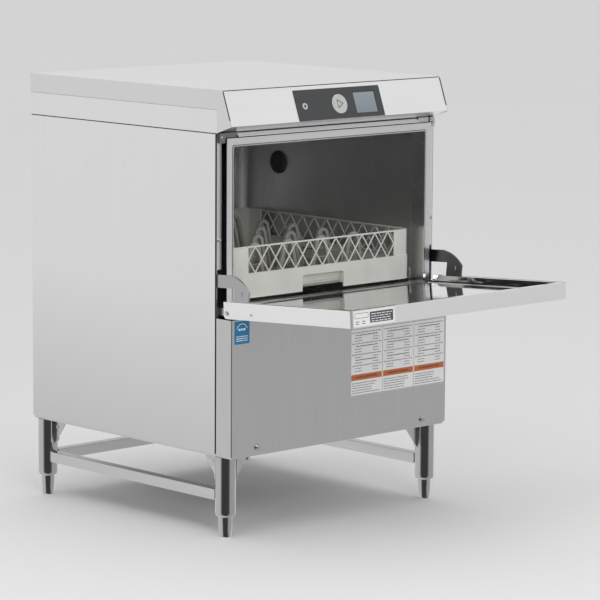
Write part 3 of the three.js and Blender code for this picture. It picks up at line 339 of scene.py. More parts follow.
LOOKS = {
    "hood": steel("hood_steel", (0.76, 0.76, 0.77), 0.34, GRAIN_ACROSS, streak=0.03),
    "fascia": steel("fascia_steel", (0.88, 0.88, 0.89), 0.32, GRAIN_ACROSS, streak=0.03),
    # Painted shade: the side sheets darken low on the body.
    "side": steel("side_steel", (0.86, 0.86, 0.865), 0.36, GRAIN_UP, streak=0.04, painted_foot_shade=0.50),
    "front": steel("front_steel", (0.60, 0.60, 0.605), 0.33, GRAIN_UP, streak=0.06),
    "door": steel("door_steel", (0.96, 0.96, 0.97), 0.33, GRAIN_ACROSS, 0.03, metallic=0.8),
    "plain": steel("plain_steel", (0.62, 0.62, 0.63), 0.3, GRAIN_DEEP),
    # Painted shade: the stand's upward faces are darkened.
    "stand": steel("stand_steel", (0.62, 0.62, 0.63), 0.3, GRAIN_DEEP, painted_top_shade=0.2),
    "bright": steel("bright_steel", (0.9, 0.9, 0.91), 0.28, GRAIN_ACROSS, streak=0.03),
    "rail": steel("rail_steel", (0.98, 0.98, 0.985), 0.24, GRAIN_ACROSS, 0.02),
    "arm_pale": steel("arm_pale_steel", (0.46, 0.46, 0.47), 0.34, NO_GRAIN, 0.05),
    # Painted shade on the doorway's sleeve, as dark as the chamber.
    "doorway": doorway_steel("doorway_steel", (0.86, 0.86, 0.87), 0.28, 0.78),
    # Painted shade: this darkened steel stands for the shade under the machine and on the left latch.
    "dark": steel("dark_steel_painted_shade", (0.24, 0.24, 0.25), 0.34, NO_GRAIN),
    # Painted shade: a darker copy of the arm steel, for the right door arm.
    "arm_painted_shade": steel("arm_steel_painted_shade", (0.13, 0.13, 0.135), 0.36, NO_GRAIN),
    "leg": polished("leg_steel", (0.60, 0.60, 0.61), 0.12),
    "mirror": polished("mirror_steel", (0.72, 0.72, 0.73), 0.05, haze=0.05),
    "screw": polished("screw_steel", (0.6, 0.6, 0.61), 0.2),
    "tub": tub_steel("tub_steel", (0.72, 0.725, 0.73), 0.38),
    "heater": steel("heater_metal", (0.32, 0.28, 0.26), 0.4, NO_GRAIN, streak=0.2),
    "brass": steel("brass", (0.72, 0.5, 0.22), 0.32, NO_GRAIN, streak=0.08),
    "bezel": plastic("bezel_plastic", (0.042, 0.044, 0.047), 0.4, 0.1, 1.6),
    "panel_plastic": plastic("inner_plastic", (0.07, 0.075, 0.085), 0.5),
    "button": plastic("button_plastic", (0.60, 0.625, 0.60), 0.38, 0.08, 1.1),
    # Real print, and also the painted shade in the screws' cross recesses.
    "icon": plastic("icon_ink_and_recess_shade", (0.07, 0.075, 0.08), 0.5, 0.05),
    # Painted shade: the rack's plastic made darker for the floor and fingers deep inside the rack.
    "rack_shade": plastic("rack_plastic_painted_shade", (0.42, 0.412, 0.38), 0.46, 0.12, 1.3),
    "rack": plastic("rack_plastic", (0.80, 0.785, 0.725), 0.42, 0.12, 1.15, Subsurface_Weight=0.06),
    # Real rubber, and also the painted shade inside the wash arms' nozzle slots.
    "rubber": plastic("black_rubber", (0.022, 0.022, 0.023), 0.62, 0.35, 2.0),
    # Painted shadow: dark lines laid along the seams and round the doorway.
    "seam": plastic("seam_painted_shadow", (0.012, 0.012, 0.013), 0.8, 0.2, 1.5, Specular_IOR_Level=0.1),
    "motor": plastic("motor_paint", (0.05, 0.08, 0.12), 0.4, 0.2, 1.5),
    "display": screen_glass("display_glass"),
    "white": paper("label_white", (0.93, 0.93, 0.92)),
    "print": paper("label_print", (0.06, 0.06, 0.065)),
    "faint": paper("label_faint_print", (0.22, 0.22, 0.225)),
    "orange": paper("label_orange", (0.62, 0.15, 0.03)),
    "blue": paper("label_blue", (0.004, 0.20, 0.42)),
}


# ---- mesh helpers ----

def smooth_by_angle():
    """A geometry node group that shades smooth wherever two faces meet at less than 38 degrees."""
    group = bpy.data.node_groups.new("smooth_by_angle", "GeometryNodeTree")
    group.interface.new_socket("Geometry", in_out="INPUT", socket_type="NodeSocketGeometry")
    group.interface.new_socket("Geometry", in_out="OUTPUT", socket_type="NodeSocketGeometry")
    nodes = group.nodes
    start = nodes.new("NodeGroupInput")
    end = nodes.new("NodeGroupOutput")
    faces = nodes.new("GeometryNodeSetShadeSmooth")
    sharp = nodes.new("GeometryNodeSetShadeSmooth")
    sharp.domain = "EDGE"
    sharp.inputs["Shade Smooth"].default_value = False
    angle = nodes.new("GeometryNodeInputMeshEdgeAngle")
    compare = nodes.new("FunctionNodeCompare")
    compare.operation = "GREATER_THAN"
    compare.inputs[1].default_value = math.radians(38)
    links = group.links
    links.new(start.outputs[0], faces.inputs["Geometry"])
    links.new(faces.outputs[0], sharp.inputs["Geometry"])
    links.new(angle.outputs["Unsigned Angle"], compare.inputs[0])
    links.new(compare.outputs[0], sharp.inputs["Selection"])
    links.new(sharp.outputs[0], end.inputs[0])
    return group


SMOOTH = smooth_by_angle()


def soften(piece, width):
    """Rounds the sharp edges of a piece and shades it smooth."""
    if width:
        bevel = piece.modifiers.new("edges", "BEVEL")
        bevel.width = width
        bevel.segments = 2
        bevel.limit_method = "ANGLE"
        bevel.angle_limit = math.radians(32)
        bevel.miter_outer = "MITER_ARC"
    smooth = piece.modifiers.new("smooth", "NODES")
    smooth.node_group = SMOOTH
    weigh = piece.modifiers.new("weigh", "WEIGHTED_NORMAL")
    weigh.keep_sharp = True


def paint(node, look, edge=0.35):
    """Gives a CAD node its material, and rounds its edges by that many millimetres."""
    piece = frame["nodes"][node]
    piece.data.materials.clear()
    piece.data.materials.append(LOOKS[look])
    weld = piece.modifiers.new("weld", "WELD")
    weld.merge_threshold = 0.01 * MM
    flat = piece.modifiers.new("flat", "DECIMATE")
    flat.decimate_type = "DISSOLVE"
    flat.angle_limit = math.radians(0.5)
    soften(piece, edge * MM)


def piece_of(name, bm, body, look, edge=0.0):
    """Turns a bmesh into a piece that rides on a CAD body; edge is its rounding in millimetres."""
    bmesh.ops.recalc_face_normals(bm, faces=bm.faces)
    mesh = bpy.data.meshes.new(name)
    bm.to_mesh(mesh)
    bm.free()
    piece = bpy.data.objects.new(name, mesh)
    bpy.context.collection.objects.link(piece)
    mesh.materials.append(LOOKS[look])
    soften(piece, edge * MM)
    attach(piece, body)
    return piece


def facing(origin, out, up=UP):
    """A placing matrix whose Z points out of a face, with Y up that face and X to the right."""
    across = up.cross(out).normalized()
    turn = Matrix((across, out.cross(across).normalized(), out.normalized())).transposed()
    return Matrix.Translation(origin) @ turn.to_4x4()


def block(bm, low, high, place=Matrix.Identity(4)):
    outline = [(low[0], low[1]), (high[0], low[1]), (high[0], high[1]), (low[0], high[1])]
    prism(bm, outline, low[2], high[2], place)


def prism(bm, outline, low, high, place=Matrix.Identity(4)):
    """A closed outline in X and Y, raised from low to high along Z, then set in place."""
    bottom = [bm.verts.new(place @ Vector((x, y, low))) for x, y in outline]
    top = [bm.verts.new(place @ Vector((x, y, high))) for x, y in outline]
    bm.faces.new(bottom[::-1])
    bm.faces.new(top)
    for i, vert in enumerate(bottom):
        after = (i + 1) % len(bottom)
        bm.faces.new((vert, bottom[after], top[after], top[i]))


def join_rings(bm, rings, capped=True):
    """Walls from each ring of vertices to the next, and a face over both ends if capped."""
    count = len(rings[0])
    for low, high in zip(rings, rings[1:]):
        for i in range(count):
            after = (i + 1) % count
            bm.faces.new((low[i], low[after], high[after], high[i]))
    if capped:
        bm.faces.new(rings[0][::-1])
        bm.faces.new(rings[-1])


def band(bm, outer, inner, low, high, place=Matrix.Identity(4)):
    """A closed wall between two outlines that have the same number of points."""
    rings = [[bm.verts.new(place @ Vector((x, y, z))) for x, y in outline]
             for outline, z in ((outer, low), (outer, high), (inner, high), (inner, low))]
    join_rings(bm, rings + rings[:1], capped=False)


def arc(radius, start, end, steps, x=0.0, y=0.0):
    """Points round (x, y) from one angle to another, in degrees."""
    turns = [math.radians(start + (end - start) * i / steps) for i in range(steps + 1)]
    return [(x + radius * math.cos(a), y + radius * math.sin(a)) for a in turns]


def round_rect(x0, x1, y0, y1, radius):
    corners = ((x1 - radius, y1 - radius, 0), (x0 + radius, y1 - radius, 90),
               (x0 + radius, y0 + radius, 180), (x1 - radius, y0 + radius, 270))
    return [point for x, y, start in corners for point in arc(radius, start, start + 90, 6, x, y)]


def ring_points(radius, sides):
    turns = [2 * math.pi * i / sides for i in range(sides)]
    return [(radius * math.cos(a), radius * math.sin(a)) for a in turns]


def turned(bm, profile, place=Matrix.Identity(4), sides=64):
    """A turned piece about Z from [radius, height] pairs, closed at the axis at both ends."""
    rings = []
    for radius, height in profile:
        if radius < 1e-7:
            rings.append([bm.verts.new(place @ Vector((0, 0, height)))])
        else:
            points = ring_points(radius, sides)
            rings.append([bm.verts.new(place @ Vector((x, y, height))) for x, y in points])
    for low, high in zip(rings, rings[1:]):
        for i in range(sides):
            after = (i + 1) % sides
            corners = [low[i % len(low)], low[after % len(low)],
                       high[after % len(high)], high[i % len(high)]]
            unique = list(dict.fromkeys(corners))
            if len(unique) > 2:
                bm.faces.new(unique)


def tube(bm, path, radius):
    """A thin round bar through a list of points."""
    rings = []
    for i, point in enumerate(path):
        ahead = path[min(i + 1, len(path) - 1)] - path[max(i - 1, 0)]
        place = facing(point, ahead, UP if abs(ahead.normalized().z) < 0.9 else FRONT)
        rings.append([bm.verts.new(place @ Vector((x, y, 0))) for x, y in ring_points(radius, 8)])
    join_rings(bm, rings)


def span(node, direction):
    """Lowest and highest reach of a CAD node along a direction."""
    reach = [vert.co.dot(direction) for vert in frame["nodes"][node].data.vertices]
    return min(reach), max(reach)


def corners_of(node):
    low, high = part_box(node)
    return Vector(low), Vector(high)


def centre_of(node):
    low, high = corners_of(node)
    return (low + high) / 2


def half_width(node):
    low, high = corners_of(node)
    return (high.x - low.x) / 2


def joint_axis(name):
    return next(joint for joint in frame["joints"] if joint["name"] == name)["axis"]


def standing(node, base, flip=False):
    """A place on a node's upright axis at that height, drawn in millimetres, upside down if flipped."""
    centre = centre_of(node)
    return (Matrix.Translation((centre.x, centre.y, base))
            @ Matrix.Diagonal((MM, MM, -MM if flip else MM, 1)))


# ---- CAD nodes that keep their shape ----

def dress_cad_nodes():
    looks = {
        "hood_cover": ("hood", 0.6), "fascia_panel": ("fascia", 0.4), "control_bezel": ("bezel", 0.5),
        "display_window": ("display", 0.3), "control_box": ("panel_plastic", 0.6),
        "side_panel_right": ("side", 0.5), "side_panel_left": ("side", 0.5),
        # Painted shade: base_pan and latch_left get the darkened steel.
        "rear_panel": ("side", 0.4), "lower_front_panel": ("front", 0.4), "base_pan": ("dark", 0.4),
        "top_rail": ("rail", 0.3), "latch_right": ("plain", 0.4), "latch_left": ("dark", 0.4),
        "wash_tub": ("tub", 0.4), "tub_front": ("doorway", 0.4),
        "rack_guide_right": ("plain", 0.3), "rack_guide_left": ("plain", 0.3),
        "strainer": ("plain", 0.3), "tank_heater": ("heater", 0), "pump_volute": ("panel_plastic", 0.5),
        "pump_impeller": ("plain", 0.3), "pump_motor": ("motor", 0.6), "suction_hose": ("rubber", 0),
        "wash_pipe": ("plain", 0), "booster_tank": ("plain", 0.5), "drain_pump": ("panel_plastic", 0.6),
        "door_skin": ("door", 0.4), "door_inner_panel": ("mirror", 0.4),
        "hinge_bracket_right": ("plain", 0.4), "hinge_bracket_left": ("plain", 0.4),
        "hinge_pin_right": ("screw", 0.4), "hinge_pin_left": ("screw", 0.4),
        # Painted shade: the right arm is given a darker steel than the left arm.
        "door_arm_right": ("arm_painted_shade", 0.6), "door_arm_left": ("arm_pale", 0.6),
        "base_frame": ("stand", 0.3), "brace_left": ("stand", 1.2), "brace_right": ("stand", 1.2),
        "brace_rear": ("stand", 1.2),
    }
    for node, (look, edge) in looks.items():
        paint(node, look, edge)


# ---- stand ----

FOOT_SIDES = 72


def leg(place):
    """A polished tube whose lower end is rolled in towards the foot."""
    low, high = corners_of("leg_" + place)
    centre = centre_of("leg_" + place)
    radius = half_width("leg_" + place)
    profile = [(0, low.z), (0.62 * radius, low.z), (0.8 * radius, low.z + 0.4 * MM)]
    for i in range(9):
        angle = math.radians(90 * i / 8)
        profile.append((radius * (0.86 + 0.14 * math.sin(angle)),
                        low.z + (2 + 8 * (1 - math.cos(angle))) * MM))
    profile += [(radius, high.z - 0.3 * MM), (radius - 0.3 * MM, high.z), (0, high.z)]
    bm = bmesh.new()
    turned(bm, profile, Matrix.Translation((centre.x, centre.y, 0)), 72)
    piece = piece_of("leg_tube_" + place, bm, "machine", "leg")
    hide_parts("leg_" + place)


def foot_radius(height, turn):
    """The foot's tapered bullet shape, with six spanner flats that fade out upwards."""
    cone = (11.9 + 1.9 * min(height / 30, 1)) * MM
    if height < 1.6:
        cone -= (0.9 - 0.9 * math.sin(math.radians(90 * height / 1.6))) * MM
    flat = (11.0 + 0.13 * height) * MM / math.cos((turn + math.pi / 6) % (math.pi / 3) - math.pi / 6)
    return min(cone, flat)


def foot(place, body):
    """A bullet foot with its threaded stem inside the leg."""
    high = corners_of("foot_" + place)[1]
    centre = centre_of("foot_" + place)
    top = corners_of("leg_" + place)[0].z / MM - 0.3
    turns = [2 * math.pi * i / FOOT_SIDES for i in range(FOOT_SIDES)]
    bm = bmesh.new()
    rings = []
    for height in [0, 0.4, 0.9, 1.6] + [4 + i * 4 for i in range(9)] + [top]:
        ring = []
        for turn in turns:
            radius = foot_radius(height, turn)
            ring.append(bm.verts.new((centre.x + radius * math.cos(turn),
                                      centre.y + radius * math.sin(turn), height * MM)))
        rings.append(ring)
    join_rings(bm, rings)
    thread_points = [(7 - 0.7 * (i % 2), top + 2 + i * 2.6) for i in range(20)]
    turned(bm, [(0, top), (7, top)] + thread_points + [(0, high.z / MM)],
           standing("foot_" + place, 0), 32)
    piece = piece_of("foot_bullet_" + place, bm, body, "leg")
    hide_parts("foot_" + place)


# ---- screws ----

def screw(name, spot, out, radius, height, body="machine", look="leg", cross_shade=False):
    """A domed screw head on a thin washer, sized in millimetres, with a dark cross on top if asked, a
    painted shade for a cross recess.
    """
    place = facing(spot, out) @ IN_MM
    profile = [(0, -0.4), (radius, -0.4), (radius, 0.25 * height)]
    for i in range(1, 8):
        angle = math.radians(90 * i / 7)
        profile.append((radius * (0.55 + 0.45 * math.cos(angle)),
                        height * (0.25 + 0.75 * math.sin(angle))))
    bm = bmesh.new()
    turned(bm, profile + [(0, height)], place, 32)
    piece_of(name, bm, body, look)
    if cross_shade:
        # Painted shade: a dark raised cross stands for the shadow inside a cross recess.
        bm = bmesh.new()
        arm = radius * 0.5
        width = radius * 0.13
        block(bm, (-arm, -width, height * 0.7), (arm, width, height * 1.02), place)
        block(bm, (-width, -arm, height * 0.7), (width, arm, height * 1.021), place)
        piece_of(name + "_recess", bm, body, "icon")


def panel_screws():
    """The two domes low on the front panel and the two on the doorway's jambs."""
    low = corners_of("lower_front_panel")[0]
    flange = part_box("side_panel_right")[0][1]
    for side, name in SIDES:
        spot = Vector((side * PANEL_SCREW_X, low.y, low.z + PANEL_SCREW_RISE))
        screw("panel_screw_" + name, spot, FRONT, 6.6, 4.2)
        screw("jamb_screw_" + name, Vector((side * JAMB_SCREW_X, flange, JAMB_SCREW_Z)), FRONT, 4.9, 3.6)


def gusset_screws():
    """A small dome on the outer face of each gusset that runs front to back."""
    for place, inward in (("front_left", 1), ("front_right", 1), ("back_left", -1), ("back_right", -1)):
        centre = centre_of("leg_" + place)
        side = RIGHT * math.copysign(1, centre.x)
        spot = Vector((centre.x, centre.y + inward * GUSSET_SCREW_REACH, GUSSET_SCREW_Z))
        screw("gusset_screw_" + place, spot + side * GUSSET_FACE, side, 3.6, 1.8)


def back_screws():
    """Cross-head screws round the rear panel's rim."""
    low, high = corners_of("rear_panel")
    places = []
    for i in range(5):
        z = low.z + BACK_SCREW_END + i * (high.z - low.z - 2 * BACK_SCREW_END) / 4
        places += [(low.x + BACK_SCREW_SIDE, z), (high.x - BACK_SCREW_SIDE, z)]
    for i in range(1, 4):
        x = low.x + i * (high.x - low.x) / 4
        places += [(x, high.z - BACK_SCREW_TOP), (x, low.z + BACK_SCREW_TOP)]
    for index, (x, z) in enumerate(places):
        screw(f"back_screw_{index}", Vector((x, high.y, z)), BACK, 4.6, 2.2, look="screw", cross_shade=True)


# ---- controls ----

def fascia_place(node):
    """The placing matrix at the middle of a control's outer face, Z out of the fascia."""
    out = -Vector(joint_axis("start_press")).normalized()
    up = out.cross(RIGHT)
    middle = [sum(span(node, axis)) / 2 for axis in (RIGHT, up)]
    return facing(RIGHT * middle[0] + up * middle[1] + out * span(node, out)[1], out, up)


def start_button():
    """A round key with a soft shoulder, a shallow dish and the outline of a triangle."""
    place = fascia_place("start_button") @ IN_MM
    radius = half_width("start_button") / MM
    profile = [(0, -14), (5, -14), (5, -6.7), (radius, -6.7), *arc(0.9, 0, 90, 6, radius - 0.9, -0.9),
               (radius - 3, 0), (radius - 4.2, -0.35), (0, -0.6)]
    bm = bmesh.new()
    turned(bm, profile, place, 96)
    piece = piece_of("start_cap", bm, "start_key", "button")
    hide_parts("start_button")
    bm = bmesh.new()
    band(bm, [(10.2, 0), (-6.2, 9.8), (-6.2, -9.8)], [(7.4, 0), (-4.8, 7.2), (-4.8, -7.2)],
         -0.7, -0.3, place)
    piece_of("start_triangle", bm, "start_key", "icon")


def power_button():
    """A small round key with a dark dot in its middle."""
    place = fascia_place("power_button") @ IN_MM
    radius = half_width("power_button") / MM
    bm = bmesh.new()
    turned(bm, [(0, -14), (2.5, -14), (2.5, -6), (radius, -6), (radius, -0.5), (radius - 0.5, -0.1),
                (radius - 1.6, -0.3), (0, -0.4)], place, 64)
    piece = piece_of("power_cap", bm, "power_key", "button")
    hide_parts("power_button")
    bm = bmesh.new()
    turned(bm, [(0, -0.6), (3.1, -0.6), (2.9, -0.1), (0, 0)], place, 48)
    piece_of("power_dot", bm, "power_key", "icon")


def display_rim():
    """A thin raised frame round the display."""
    place = fascia_place("display_window")
    low, high = span("display_window", place.col[1].to_3d())
    x = half_width("display_window") / MM
    y = (high - low) / 2 / MM
    bm = bmesh.new()
    band(bm, round_rect(-x, x, -y, y, 1.5), round_rect(1.6 - x, x - 1.6, 1.6 - y, y - 1.6, 0.8),
         0, 0.25, place @ IN_MM)
    piece_of("display_rim", bm, "machine", "bezel", 0.08)


# ---- labels, all drawn in millimetres ----

LINE_HEIGHT = 1.6
HEADING_ROWS = (4, 9, 13)


def words(bm, left, right, y, height, rng, place, fill=1.0):
    """One line of greeked text: short bars with gaps, no letters."""
    x = left
    while x < left + (right - left) * fill:
        end = min(x + rng.uniform(2.2, 7.5), right)
        block(bm, (x, y, 0), (end, y + height, 0.08), place)
        x = end + rng.uniform(0.9, 1.6)


def sticker_place(x, z):
    """A place on the lower front panel, drawn in millimetres, with the sticker's face at zero."""
    return facing(Vector((x, corners_of("lower_front_panel")[0].y - STICKER_LIFT, z)), FRONT) @ IN_MM


def instruction_sheet():
    """Three columns of greeked lines, each with a plain orange band near the foot."""
    rng = random.Random(7)
    width, height = SHEET_SIZE_MM
    place = sticker_place(SHEET_LEFT, SHEET_BOTTOM)
    bm = bmesh.new()
    prism(bm, round_rect(0, width, 0, height, 1.5), -0.1, 0, place)
    piece_of("instruction_sheet", bm, "machine", "white")
    lines, heads, bands, band_print = (bmesh.new() for _ in range(4))
    band(heads, round_rect(0.6, width - 0.6, 0.6, height - 0.6, 1.2),
         round_rect(1.1, width - 1.1, 1.1, height - 1.1, 0.8), 0, 0.08, place)
    for index in range(3):
        x0 = index * width / 3 + 4
        x1 = (index + 1) * width / 3 - 4
        if index:
            block(heads, (x0 - 4.3, 1, 0), (x0 - 3.7, height - 1, 0.07), place)
        block(bands, (x0 - 2, 32, 0), (x1 + 2, 44, 0.07), place)
        words(band_print, x0 + 12, x1 - 12, 36.6, 2.8, rng, place)
        for row in range(5):
            words(lines, x0, x1, 5 + row * 5, LINE_HEIGHT, rng, place, rng.uniform(0.6, 1))
        for row in range(15):
            y = 50 + row * 5.7
            if row in HEADING_ROWS:
                words(heads, x0 + 10, x1 - 10, y, 1.8, rng, place)
            elif row % 4 == 2:
                words(lines, x0, x1, y, LINE_HEIGHT, rng, place)
            else:
                words(lines, x0 + 8, x0 + 28, y, LINE_HEIGHT, rng, place)
                words(lines, x1 - 24, x1 - 8, y, LINE_HEIGHT, rng, place)
    for name, shapes, look in (("lines", lines, "faint"), ("headings", heads, "print"),
                               ("bands", bands, "orange"), ("band_print", band_print, "print")):
        piece_of("instruction_" + name, shapes, "machine", look)


def blue_label():
    """A small blue label: an arch over three rows of greeked bars."""
    place = sticker_place(BLUE_LABEL_X, BLUE_LABEL_Z)
    bm = bmesh.new()
    prism(bm, round_rect(-20, 20, -23, 23, 2), -0.1, 0, place)
    piece_of("blue_label", bm, "machine", "blue")
    rng = random.Random(3)
    bm = bmesh.new()
    prism(bm, arc(15, 20, 160, 10, y=3) + arc(13.6, 20, 160, 10, y=3)[::-1], 0, 0.07, place)
    for row in range(3):
        words(bm, -15, 15, -17 + row * 4.2, LINE_HEIGHT, rng, place)
    words(bm, -9, 9, 4, 4, rng, place)
    piece_of("blue_label_marks", bm, "machine", "white")


def door_axes():
    """Out of the open door's front edge, and up off its face."""
    slide = joint_axis("rack_slide")
    tilt = math.atan2(-slide[2], slide[1])
    return Vector((0, -math.cos(tilt), math.sin(tilt))), Vector((0, math.sin(tilt), math.cos(tilt)))


def door_edge_place(x, along):
    """A place on the open door's front edge, drawn in millimetres, Z out of the edge and Y up it."""
    out, up = door_axes()
    reach = span("door_skin", out)[1]
    low = span("door_skin", up)[0]
    return facing(RIGHT * x + out * reach + up * (low + along), out, up) @ IN_MM


def data_plate():
    """The door's plate: a dark field of greeked bars, a round-cornered outline and four short bars."""
    place = door_edge_place(DATA_PLATE_X, DATA_PLATE_RISE)
    plate, ink, bars = 0.16, 0.24, 0.3
    bm = bmesh.new()
    prism(bm, round_rect(-55, 55, -14.5, 14.5, 2), 0, plate, place)
    piece_of("data_plate", bm, "door", "white")
    rng = random.Random(11)
    dark, pale = bmesh.new(), bmesh.new()
    prism(dark, round_rect(-12, 50, -10, 11, 1), plate, ink, place)
    band(dark, round_rect(-52, -16, 1, 11, 2), round_rect(-51.2, -16.8, 1.8, 10.2, 1.4),
         plate, ink, place)
    for row in range(2):
        for start in (-50, -33):
            block(dark, (start, -10 + row * 4, plate), (start + 9, -8.6 + row * 4, ink), place)
    for row in range(4):
        x = -8
        while x < 44:
            length = rng.uniform(4, 12)
            block(pale, (x, -8 + row * 4.6, ink), (min(x + length, 47), -6.4 + row * 4.6, bars), place)
            x += length + 2.2
    piece_of("data_plate_ink", dark, "door", "icon")
    piece_of("data_plate_lines", pale, "door", "white")


# ---- rack, all drawn in millimetres ----

RACK_BAND_TOP = 50.5
RACK_WINDOW = 205
RACK_DIAMONDS = 11
GRIP_HALF = 58
GRIP_HEIGHT = 33
FLOOR_BARS = 16
FINGER_FIRST = -194
FINGER_PITCH = (93, 92)
FINGER_CROWN = 16
FINGER_FOOT = 34
FINGER_WALL = 8
FINGER_BASE = 9
FINGER_DROP = 2.6


def rack_frame():
    """The rack's place, from the middle of its foot, with its half width and its height."""
    low, high = corners_of("dish_rack")
    middle = (low + high) / 2
    place = Matrix.Translation((middle.x, middle.y, low.z)) @ IN_MM
    return place, half_width("dish_rack") / MM, (high.z - low.z) / MM


def quarter_turns():
    return [Matrix.Rotation(math.radians(90 * i), 4, "Z") for i in range(4)]


def rack_sides(place, reach):
    """A place on each of the rack's four sides, that far out from its middle, Z outwards."""
    return [place @ turn @ facing(Vector((0, -reach, 0)), FRONT) for turn in quarter_turns()]


def rack_walls():
    """The solid lower band with its grip cut-outs, the corners above it and the top rim."""
    place, half, height = rack_frame()
    bm = bmesh.new()
    long = half - 16
    post = long + 2.5
    fillet = arc(5, 0, 90, 5, GRIP_HALF - 5, GRIP_HEIGHT - 5)
    opening = fillet + [(-x, y) for x, y in fillet[::-1]]
    wall = [(-long, 0), (-GRIP_HALF, 0), *opening[::-1], (GRIP_HALF, 0), (long, 0),
            (long, RACK_BAND_TOP), (-long, RACK_BAND_TOP)]
    for here in rack_sides(place, half):
        prism(bm, wall, -3.6, 0, here)
        for side in (-1, 1):
            edge = sorted((side * post, side * RACK_WINDOW))
            block(bm, (edge[0], RACK_BAND_TOP - 4, -4.8), (edge[1], height, -2), here)
        block(bm, (-post, height - 3.2, -6.5), (post, height, -1.6), here)
        block(bm, (-post, RACK_BAND_TOP - 3, -7.5), (post, RACK_BAND_TOP, -1.5), here)
    for turn in quarter_turns():
        rack_corner(bm, place @ turn, half, 0, RACK_BAND_TOP, 16, 3.6)
        rack_corner(bm, place @ turn, half - 2, RACK_BAND_TOP - 4, height, 14, 3)
    piece = piece_of("rack_walls", bm, "rack", "rack", 0.7)
    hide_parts("dish_rack")


def rack_corner(bm, place, reach, low, high, radius, wall):
    """A quarter-round wall at one corner of the rack."""
    middle = reach - radius
    outer, inner = (arc(size, 0, 90, 8, middle, middle) for size in (radius, radius - wall))
    prism(bm, outer + inner[::-1], low, high, place)


def rack_lattice():
    """Crossed slanting bars in each side's window, cut to half bars at both ends."""
    place, half, height = rack_frame()
    bm = bmesh.new()
    pitch = 2 * RACK_WINDOW / RACK_DIAMONDS
    low = RACK_BAND_TOP - 1
    high = height - 2
    wide = 1.5
    for here in rack_sides(place, half - 2):
        for i in range(RACK_DIAMONDS + 1):
            left = -RACK_WINDOW + (i - 0.5) * pitch
            for depth, rising in ((0.0, True), (0.25, False)):
                first, last = (0.0, 1.0)
                if i == 0:
                    first, last = (0.5, 1.0) if rising else (0.0, 0.5)
                if i == RACK_DIAMONDS:
                    first, last = (0.0, 0.5) if rising else (0.5, 1.0)
                (x0, y0), (x1, y1) = ((left + pitch * (share if rising else 1 - share),
                                       low + (high - low) * share) for share in (first, last))
                outline = [(x0 - wide, y0), (x0 + wide, y0), (x1 + wide, y1), (x1 - wide, y1)]
                prism(bm, outline, -2.4 - depth, -depth, here)
    piece_of("rack_lattice", bm, "rack", "rack", 0.35)


def rack_grips():
    """The stepped pocket behind each grip cut-out."""
    place, half, _ = rack_frame()
    bm = bmesh.new()
    for here in rack_sides(place, half):
        block(bm, (-61, 12, -16.5), (61, 37, -13.5), here)
        block(bm, (-61, 33.4, -16.5), (61, 37, -2), here)
        block(bm, (-61, 17, -13.6), (61, 19.5, -10.5), here)
        for side in (-1, 1):
            edge = sorted((side * 58.2, side * 61.5))
            block(bm, (edge[0], 8, -16.5), (edge[1], 37, -2), here)
    piece_of("rack_grips", bm, "rack", "rack", 0.6)


def rack_floor():
    """An open grid floor of crossing bars, finer between the main ribs."""
    place, half, _ = rack_frame()
    bm = bmesh.new()
    reach = half - 17
    ledge = half - 15.5
    band(bm, round_rect(-ledge, ledge, -ledge, ledge, 8),
         round_rect(6 - ledge, ledge - 6, 6 - ledge, ledge - 6, 5), 7, 14, place)
    for i in range(-FLOOR_BARS, FLOOR_BARS + 1):
        along = i * reach / (FLOOR_BARS + 0.6)
        wide, top = (1.6, 10.5) if i % 4 else (2.2, 12)
        block(bm, (along - wide, -reach, 8), (along + wide, reach, top), place)
        block(bm, (-reach, along - wide, 8.2), (reach, along + wide, top - 0.2), place)
    # Painted shade: the floor gets the darker copy of the rack plastic.
    piece_of("rack_floor", bm, "rack", "rack_shade", 0.4)


def rack_fingers():
    """Rows of arched fingers with an open middle, standing on the floor."""
    place, _, height = rack_frame()
    bm = bmesh.new()
    top = height - FINGER_DROP - FINGER_CROWN
    outer, inner = ([(foot, FINGER_BASE), *arc(crown, 0, 180, 14, y=top), (-foot, FINGER_BASE)]
                    for foot, crown in ((FINGER_FOOT, FINGER_CROWN),
                                        (FINGER_FOOT - FINGER_WALL, FINGER_CROWN - FINGER_WALL)))
    for i in range(4):
        for j in range(5):
            spot = Vector(((i - 1.5) * FINGER_PITCH[0], FINGER_FIRST + j * FINGER_PITCH[1], 0))
            here = place @ facing(spot, FRONT)
            prism(bm, outer + inner[::-1], -4, 4, here)
            for share in (0.34, 0.62):
                level = FINGER_BASE + share * (top - FINGER_BASE)
                reach = FINGER_FOOT + (FINGER_CROWN - FINGER_FOOT) * share - FINGER_WALL * 0.5
                block(bm, (-reach, level - 1.2, -1.2), (reach, level + 1.2, 1.2), here)
    # Painted shade: the fingers get the darker copy of the rack plastic.
    piece_of("rack_fingers", bm, "rack", "rack_shade", 1.3)


# ---- wash arms and chamber fittings, all drawn in millimetres ----

ARM_STATIONS = 30
ARM_SIDES = 20
ARM_START = 12
ARM_AXIS = 8
WASH_BORE = 10.4
RINSE_BORE = 6.6


def arm_section(x, half):
    """Half width and half thickness of a wash arm at a distance from its hub."""
    t = min(x / half, 1.0)
    swell = math.exp(-((x / 46) ** 2))
    round_end = math.sqrt(max(1 - ((t - 0.95) / 0.05) ** 2, 0.0)) if t > 0.95 else 1.0
    return (11 + 11.5 * (1 - t) + 6 * swell) * round_end + 0.3, 7 * round_end


def arm_place(node, flip):
    low, high = corners_of(node)
    return standing(node, high.z if flip else low.z, flip)


